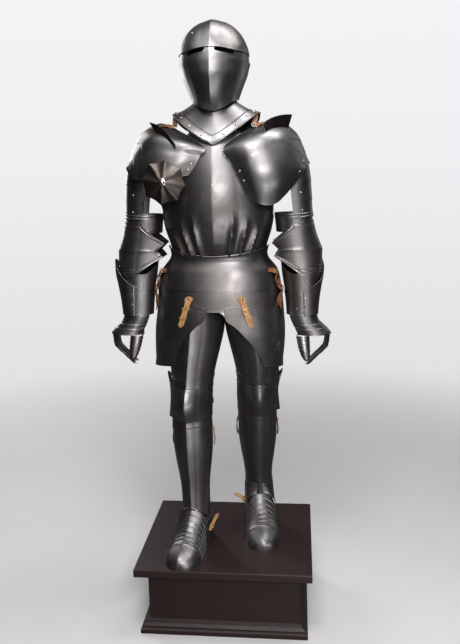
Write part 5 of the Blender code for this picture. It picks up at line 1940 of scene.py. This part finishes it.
@dataclass
class Foot(SidePart):
    """One sabaton with its toe cap, the lames over the ankle and the heel's wall."""

    heel_radius: float = 0.0500
    heel_middle: float = -0.0330
    heel_end: float = 0.0521
    heel_taper: float = 0.004
    greave_low: float = 0.3350

    SECTIONS = Profile("along half_width crest fall", [
        (0.052, 0.0500, 0.1390, 0.30),
        (0.062, 0.0505, 0.1270, 0.36),
        (0.080, 0.0520, 0.1050, 0.50),
        (0.110, 0.0550, 0.0770, 0.70),
        (0.150, 0.0560, 0.0530, 0.75),
        (0.180, 0.0490, 0.0400, 0.75),
        (0.200, 0.0360, 0.0290, 0.75),
        (0.209, 0.0220, 0.0210, 0.75),
        (0.2135, 0.0000, 0.0120, 0.75),
    ])
    TOE = 0.2135
    CAP = 0.1440
    REAR = 0.0530
    LAMES = 7
    ANKLE_TOP = 0.4200
    ANKLE_LAMES = 3
    ANKLE_AHEAD = 0.0560
    ANKLE_RUN = 0.0700
    ANKLE_HALF_WIDTH = 0.0530
    ANKLE_CREST = 0.1405
    ANKLE_FALL = 0.30
    ANKLE_BEND = 0.7
    ANKLE_ANGLE = 76
    STRAP = {
        Side.RIGHT: ((0.018, 0.050, 0.000), (0.016, 0.066, 0.006), (0.008, 0.088, 0.015),
                     (0.004, 0.110, 0.026)),
        Side.LEFT: ((0.006, 0.086, 0.000), (0.008, 0.096, 0.008), (0.006, 0.108, 0.024),
                    (0.004, 0.116, 0.042)),
    }
    STRAP_FACING = {Side.RIGHT: Vector((0.5, -0.8, 0.3)), Side.LEFT: Vector((0.0, -0.6, 0.8))}

    def __post_init__(self) -> None:
        """Works out where the foot stands and which way it points."""
        stance = LegForm.STANCE[self.side]
        self.ankle = Vector((stance.read(0.300, "x"), stance.read(0.300, "y"), 0.0))
        turn = self.side.value * LegForm.FEET[self.side]
        self.toward = Vector((sine(turn), -cosine(turn), 0.0))
        self.outward = Vector((cosine(turn), sine(turn), 0.0))
        self.ground = PLINTH_HEIGHT + SEAM

    def lift(self, along: float) -> float:
        """How far the toe cap and the overlapping lames stand off the foot's form."""
        if along >= self.CAP:
            return 0.0030
        return 0.0016 * sawtooth(along - self.REAR, (self.CAP - self.REAR) / self.LAMES)

    def sabaton(self, angle: float, behind: float) -> Vector:
        """A point of the sabaton; behind is minus the way forward from the ankle."""
        along = -behind
        lift = self.lift(along)
        nose = min(1.0, (self.TOE - along) / 0.0011) ** 0.5
        half = (self.SECTIONS.read(along, "half_width") + lift) * nose
        height = self.SECTIONS.read(along, "crest") + lift
        height *= max(0.0, cosine(angle)) ** self.SECTIONS.read(along, "fall")
        point = self.ankle + self.toward * along + self.outward * half * sine(angle)
        point.z = self.ground + height
        return point

    def ankle_lame(self, turn: float, share: float) -> Vector:
        """A point of the lames that flare from the greave over the sabaton's rear edge and the heel."""
        beyond = max(0.0, abs(turn) - self.ANKLE_BEND) / (1 - self.ANKLE_BEND)
        angle = self.ANKLE_ANGLE * min(1.0, abs(turn) / self.ANKLE_BEND)
        aside = math.copysign(1.0 if beyond else sine(angle), turn)
        foot = self.ankle + self.toward * (self.ANKLE_AHEAD - self.ANKLE_RUN * beyond)
        foot += self.outward * self.ANKLE_HALF_WIDTH * aside
        foot.z = self.ground + self.ANKLE_CREST * cosine(angle) ** self.ANKLE_FALL
        top = LegForm.point(self.side, self.ANKLE_TOP, 104 * turn, 0.0022)
        point = top + (foot - top) * (1 - share) ** 1.5
        point.z = foot.z + (top.z - foot.z) * share
        return point

    def heel(self, station: float, share: float) -> Vector:
        """A point of the heel's wall, which runs back along both sides and round the heel."""
        round_part = max(-90, min(90, station))
        radius = self.heel_radius - self.heel_taper * share
        middle = self.heel_middle + 4 * self.heel_taper * share
        along = middle - radius * cosine(round_part)
        along += (self.heel_end - middle) * (abs(station) - abs(round_part)) / 90
        point = self.ankle + self.outward * radius * sine(round_part) + self.toward * along
        base = self.ground + SEAM
        point.z = base + (self.greave_low - SEAM - base) * share
        return point

    def build(self) -> None:
        """Builds the foot's plates, rivets and strap."""
        def relief(angle: float, behind: float) -> float:
            ridge = crease(angle, 0.0024, 30) * ramp(-behind, self.TOE, self.TOE - 0.012)
            return ridge + 0.0006 * bell(-behind, self.CAP + 0.0030, 0.0022)

        pitch = (self.CAP - self.REAR) / self.LAMES
        edges = [self.REAR + pitch * number for number in range(self.LAMES + 1)]
        alongs = [self.TOE, self.TOE - 0.0004, self.TOE - 0.0015, 0.2090, 0.2000, self.CAP]
        alongs += [self.CAP + shift for shift in (0.0052, 0.0030, 0.0015, -0.0003)]
        for edge in edges[:-1]:
            alongs += [edge + pitch * share for share in (0.0, 0.04, 0.5, 0.91, 0.95)]
        behind = refine(sorted(-along for along in set(alongs)), 0.0060)
        upper = self.plate("sabaton", refine(steps(-90, 90, 12), 3.0), behind, self.sabaton, flip=False,
                           relief=relief)
        stations = refine([-180, -135] + steps(-90, 90, 8) + [135, 180], 4.0)
        self.plate("heel", stations, steps(0, 1, 14), self.heel, flip=False, lip=0.0004)
        lame = 1 / self.ANKLE_LAMES
        tops = [number * lame for number in range(1, self.ANKLE_LAMES + 1)]
        rows = steps(0, 1, 18) + [top - shift for top in tops for shift in (0.003, 0.016)]
        self.plate("ankle_lames", refine(steps(-1, 1, 20), 0.03), sorted(set(rows)), self.ankle_lame,
                   flip=False, stands_for=(), lip=0.0002,
                   relief=lambda turn, share: 0.0013 * (1 - sawtooth(share, lame)))
        rivets = Fittings("rivets_foot_" + self.label, Finish.STEEL)
        spots = [(angle, -along) for along in (0.0650, 0.0900, 0.1170, 0.1480) for angle in (-68, 68)]
        rivets.rivets(upper, spots, 0.0022)
        rivets.build()
        self.build_strap()

    def build_strap(self) -> None:
        """The strap on the inner side of the ankle, its end sticking out."""
        inward = -self.side.value * self.outward
        edge = self.ankle + inward * (self.heel_radius + 0.0022)
        route = [edge + self.toward * along + inward * away + Vector((0, 0, self.ground + height))
                 for along, height, away in self.STRAP[self.side]]
        facing = self.STRAP_FACING[self.side].normalized()
        Strap("foot_strap_" + self.label, route, [facing] * 4, 0.0065).build()
        brass = Fittings("foot_buckle_" + self.label, Finish.BRASS)
        brass.buckle(route[1] + facing * 0.003, route[2] - route[0], facing, 0.017, 0.011)
        brass.build()


@dataclass
class Plinth:
    """The mahogany plinth keeps its solids and gets its wood."""

    along_x: Sequence[str] = ("plinth_slab", "plinth_side_front", "plinth_side_back", "plinth_floor_board")
    along_y: Sequence[str] = ("plinth_side_left", "plinth_side_right")

    def build(self) -> None:
        """Gives each board its wood, with the grain along its length."""
        across = WoodFinish("mahogany_along_y", (1.0, 0.05, 1.0)).build()
        for names, material in ((self.along_x, PALETTE[Finish.WOOD]), (self.along_y, across)):
            for name in names:
                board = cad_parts[name]
                for slot in board.material_slots:
                    slot.material = material
                LOG.info("%s: wood", name)


@dataclass
class Studio:
    """The pale floor, the soft lights and the camera."""

    lens: float = 39.53
    sensor: float = 36.0
    place: Tuple[float, float, float] = (0.25116, -2.3457, 1.487115)
    yaw: float = 0.0962
    pitch: float = -0.1949
    roll: float = 0.0177
    shift: float = -0.00388
    floor_colour: Colour = (0.80, 0.785, 0.79)
    floor_bounce: Colour = (0.07, 0.066, 0.066)
    room: Colour = (0.0065, 0.0058, 0.0055)
    far_wall: Colour = (0.055, 0.054, 0.056)
    ceiling: Colour = (0.060, 0.060, 0.064)
    backdrop_low: Colour = (0.74, 0.72, 0.73)
    backdrop_high: Colour = (0.90, 0.90, 0.92)
    target: Vector = field(default_factory=lambda: Vector((0.0, 0.0, 1.25)))

    LAMPS = (
        ("high_right", (0.9, -2.9, 2.6), (0.8, 0.8), 36.0),
        ("chest_front", (0.4, -3.0, 2.2), (0.5, 0.5), 22.0),
        ("leg_near", (0.6, -2.2, 0.35), (0.5, 0.5), 10.5),
        ("leg_right", (1.5, -1.8, 0.6), (0.4, 0.8), 5.5),
        ("over_left", (-0.8, -0.4, 3.3), (0.9, 0.9), 5.0),
        ("over_front", (0.0, -1.4, 3.3), (0.9, 0.9), 37.0),
        ("over_right", (0.85, 0.10, 3.3), (0.9, 1.3), 29.0),
        ("behind_left", (-1.9, 2.3, 2.2), (0.6, 1.8), 29.0),
        ("behind_right", (2.0, 2.2, 2.0), (0.6, 1.8), 4.0),
    )

    def build(self) -> None:
        """Builds the stage."""
        self.build_camera()
        self.build_floor()
        self.build_world()
        for name, place, size, power in self.LAMPS:
            self.lamp(name, place, size, power)
        bpy.context.scene.view_settings.view_transform = "Standard"

    def build_camera(self) -> None:
        """Places the camera where the photograph was taken from."""
        data = bpy.data.cameras.new("camera")
        data.sensor_fit = "AUTO"
        data.sensor_width = self.sensor
        data.lens = self.lens
        data.shift_x = self.shift
        data.clip_start = 0.05
        data.clip_end = 60.0
        turn = (Matrix.Rotation(self.yaw, 3, "Z") @ Matrix.Rotation(self.pitch, 3, "X")
                @ Matrix.Rotation(self.roll, 3, "Y"))
        right, forward, upward = turn.col
        axes = Matrix((right, upward, -forward)).transposed()
        camera = bpy.data.objects.new("camera", data)
        camera.matrix_world = Matrix.Translation(self.place) @ axes.to_4x4()
        bpy.context.scene.collection.objects.link(camera)
        bpy.context.scene.camera = camera

    def lamp(self, name: str, place: Tuple[float, float, float], size: Tuple[float, float],
             power: float) -> None:
        """A soft rectangular lamp that looks at the target and isn't seen itself.

        Args:
            name: Its name.
            place: Where it hangs.
            size: Its width and height.
            power: Its power in watts.
        """
        data = bpy.data.lights.new(name, "AREA")
        data.shape = "RECTANGLE"
        data.size, data.size_y = size
        data.energy = power
        thing = bpy.data.objects.new(name, data)
        thing.location = place
        thing.rotation_euler = (self.target - Vector(place)).to_track_quat("-Z", "Y").to_euler()
        thing.visible_camera = False
        bpy.context.scene.collection.objects.link(thing)

    def build_floor(self) -> None:
        """A round pale floor that fades out at its rim."""
        mesh = bmesh.new()
        bmesh.ops.create_circle(mesh, cap_ends=True, segments=96, radius=4.0)
        data = bpy.data.meshes.new("floor")
        mesh.to_mesh(data)
        mesh.free()
        floor = bpy.data.objects.new("floor", data)
        floor.location = (0.0, 0.0, -0.0005)
        bpy.context.scene.collection.objects.link(floor)
        material, graph = new_graph("pale_floor")
        place = graph.place()
        away = graph.node("ShaderNodeVectorMath", {"operation": "LENGTH"}, {0: place}, "Value")
        mottle = graph.noise(place, 3.0, 3.0)
        darker = tuple(channel * 0.93 for channel in self.floor_colour)
        colour = graph.mix(mottle, self.floor_colour, darker)
        seen = graph.node("ShaderNodeLightPath", output="Is Camera Ray")
        colour = graph.mix(seen, self.floor_bounce, colour)
        solid = graph.node("ShaderNodeBsdfPrincipled", None, {"Base Color": colour, "Roughness": 0.55})
        clear = graph.node("ShaderNodeBsdfTransparent")
        share = graph.spread(away, 1.1, 3.6)
        mixed = graph.node("ShaderNodeMixShader", None, {0: share, 1: solid, 2: clear})
        graph.node("ShaderNodeOutputMaterial", None, {"Surface": mixed})
        data.materials.append(material)

    def build_world(self) -> None:
        """A pale backdrop for the camera, and a darker room with a bright far wall for the light."""
        world = bpy.data.worlds.new("studio")
        world.use_nodes = True
        bpy.context.scene.world = world
        graph = Graph(world.node_tree)
        heading = graph.node("ShaderNodeTexCoord", output="Generated")
        parts = graph.node("ShaderNodeSeparateXYZ", None, {0: heading})
        depth = Signal(graph, parts.socket.node.outputs["Y"])
        rise = Signal(graph, parts.socket.node.outputs["Z"])
        far_wall = graph.spread(depth, -0.15, 0.55)
        ceiling = graph.spread(rise, 0.25, 0.95)
        room = graph.mix(far_wall, self.room, self.far_wall)
        room = graph.mix(ceiling * 0.5, room, self.ceiling)
        backdrop = graph.mix(graph.spread(rise, -0.45, 0.25), self.backdrop_low, self.backdrop_high)
        seen = graph.node("ShaderNodeLightPath", output="Is Camera Ray")
        colour = graph.mix(seen, room, backdrop)
        light = graph.node("ShaderNodeBackground", None, {"Color": colour, "Strength": 1.0})
        graph.node("ShaderNodeOutputWorld", None, {"Surface": light})


def main() -> None:
    """Builds the stage, then the suit from the plinth up."""
    logging.basicConfig(level=logging.INFO)
    Studio().build()
    Plinth().build()
    Helmet().build()
    Gorget().build()
    Cuirass().build()
    Besagew().build()
    for side in Side:
        Tasset(side).build()
        Shoulder(side).build()
        Arm(side).build()
        Leg(side).build()
        Foot(side).build()
    bpy.context.view_layer.update()


if __name__ == "__main__":
    main()
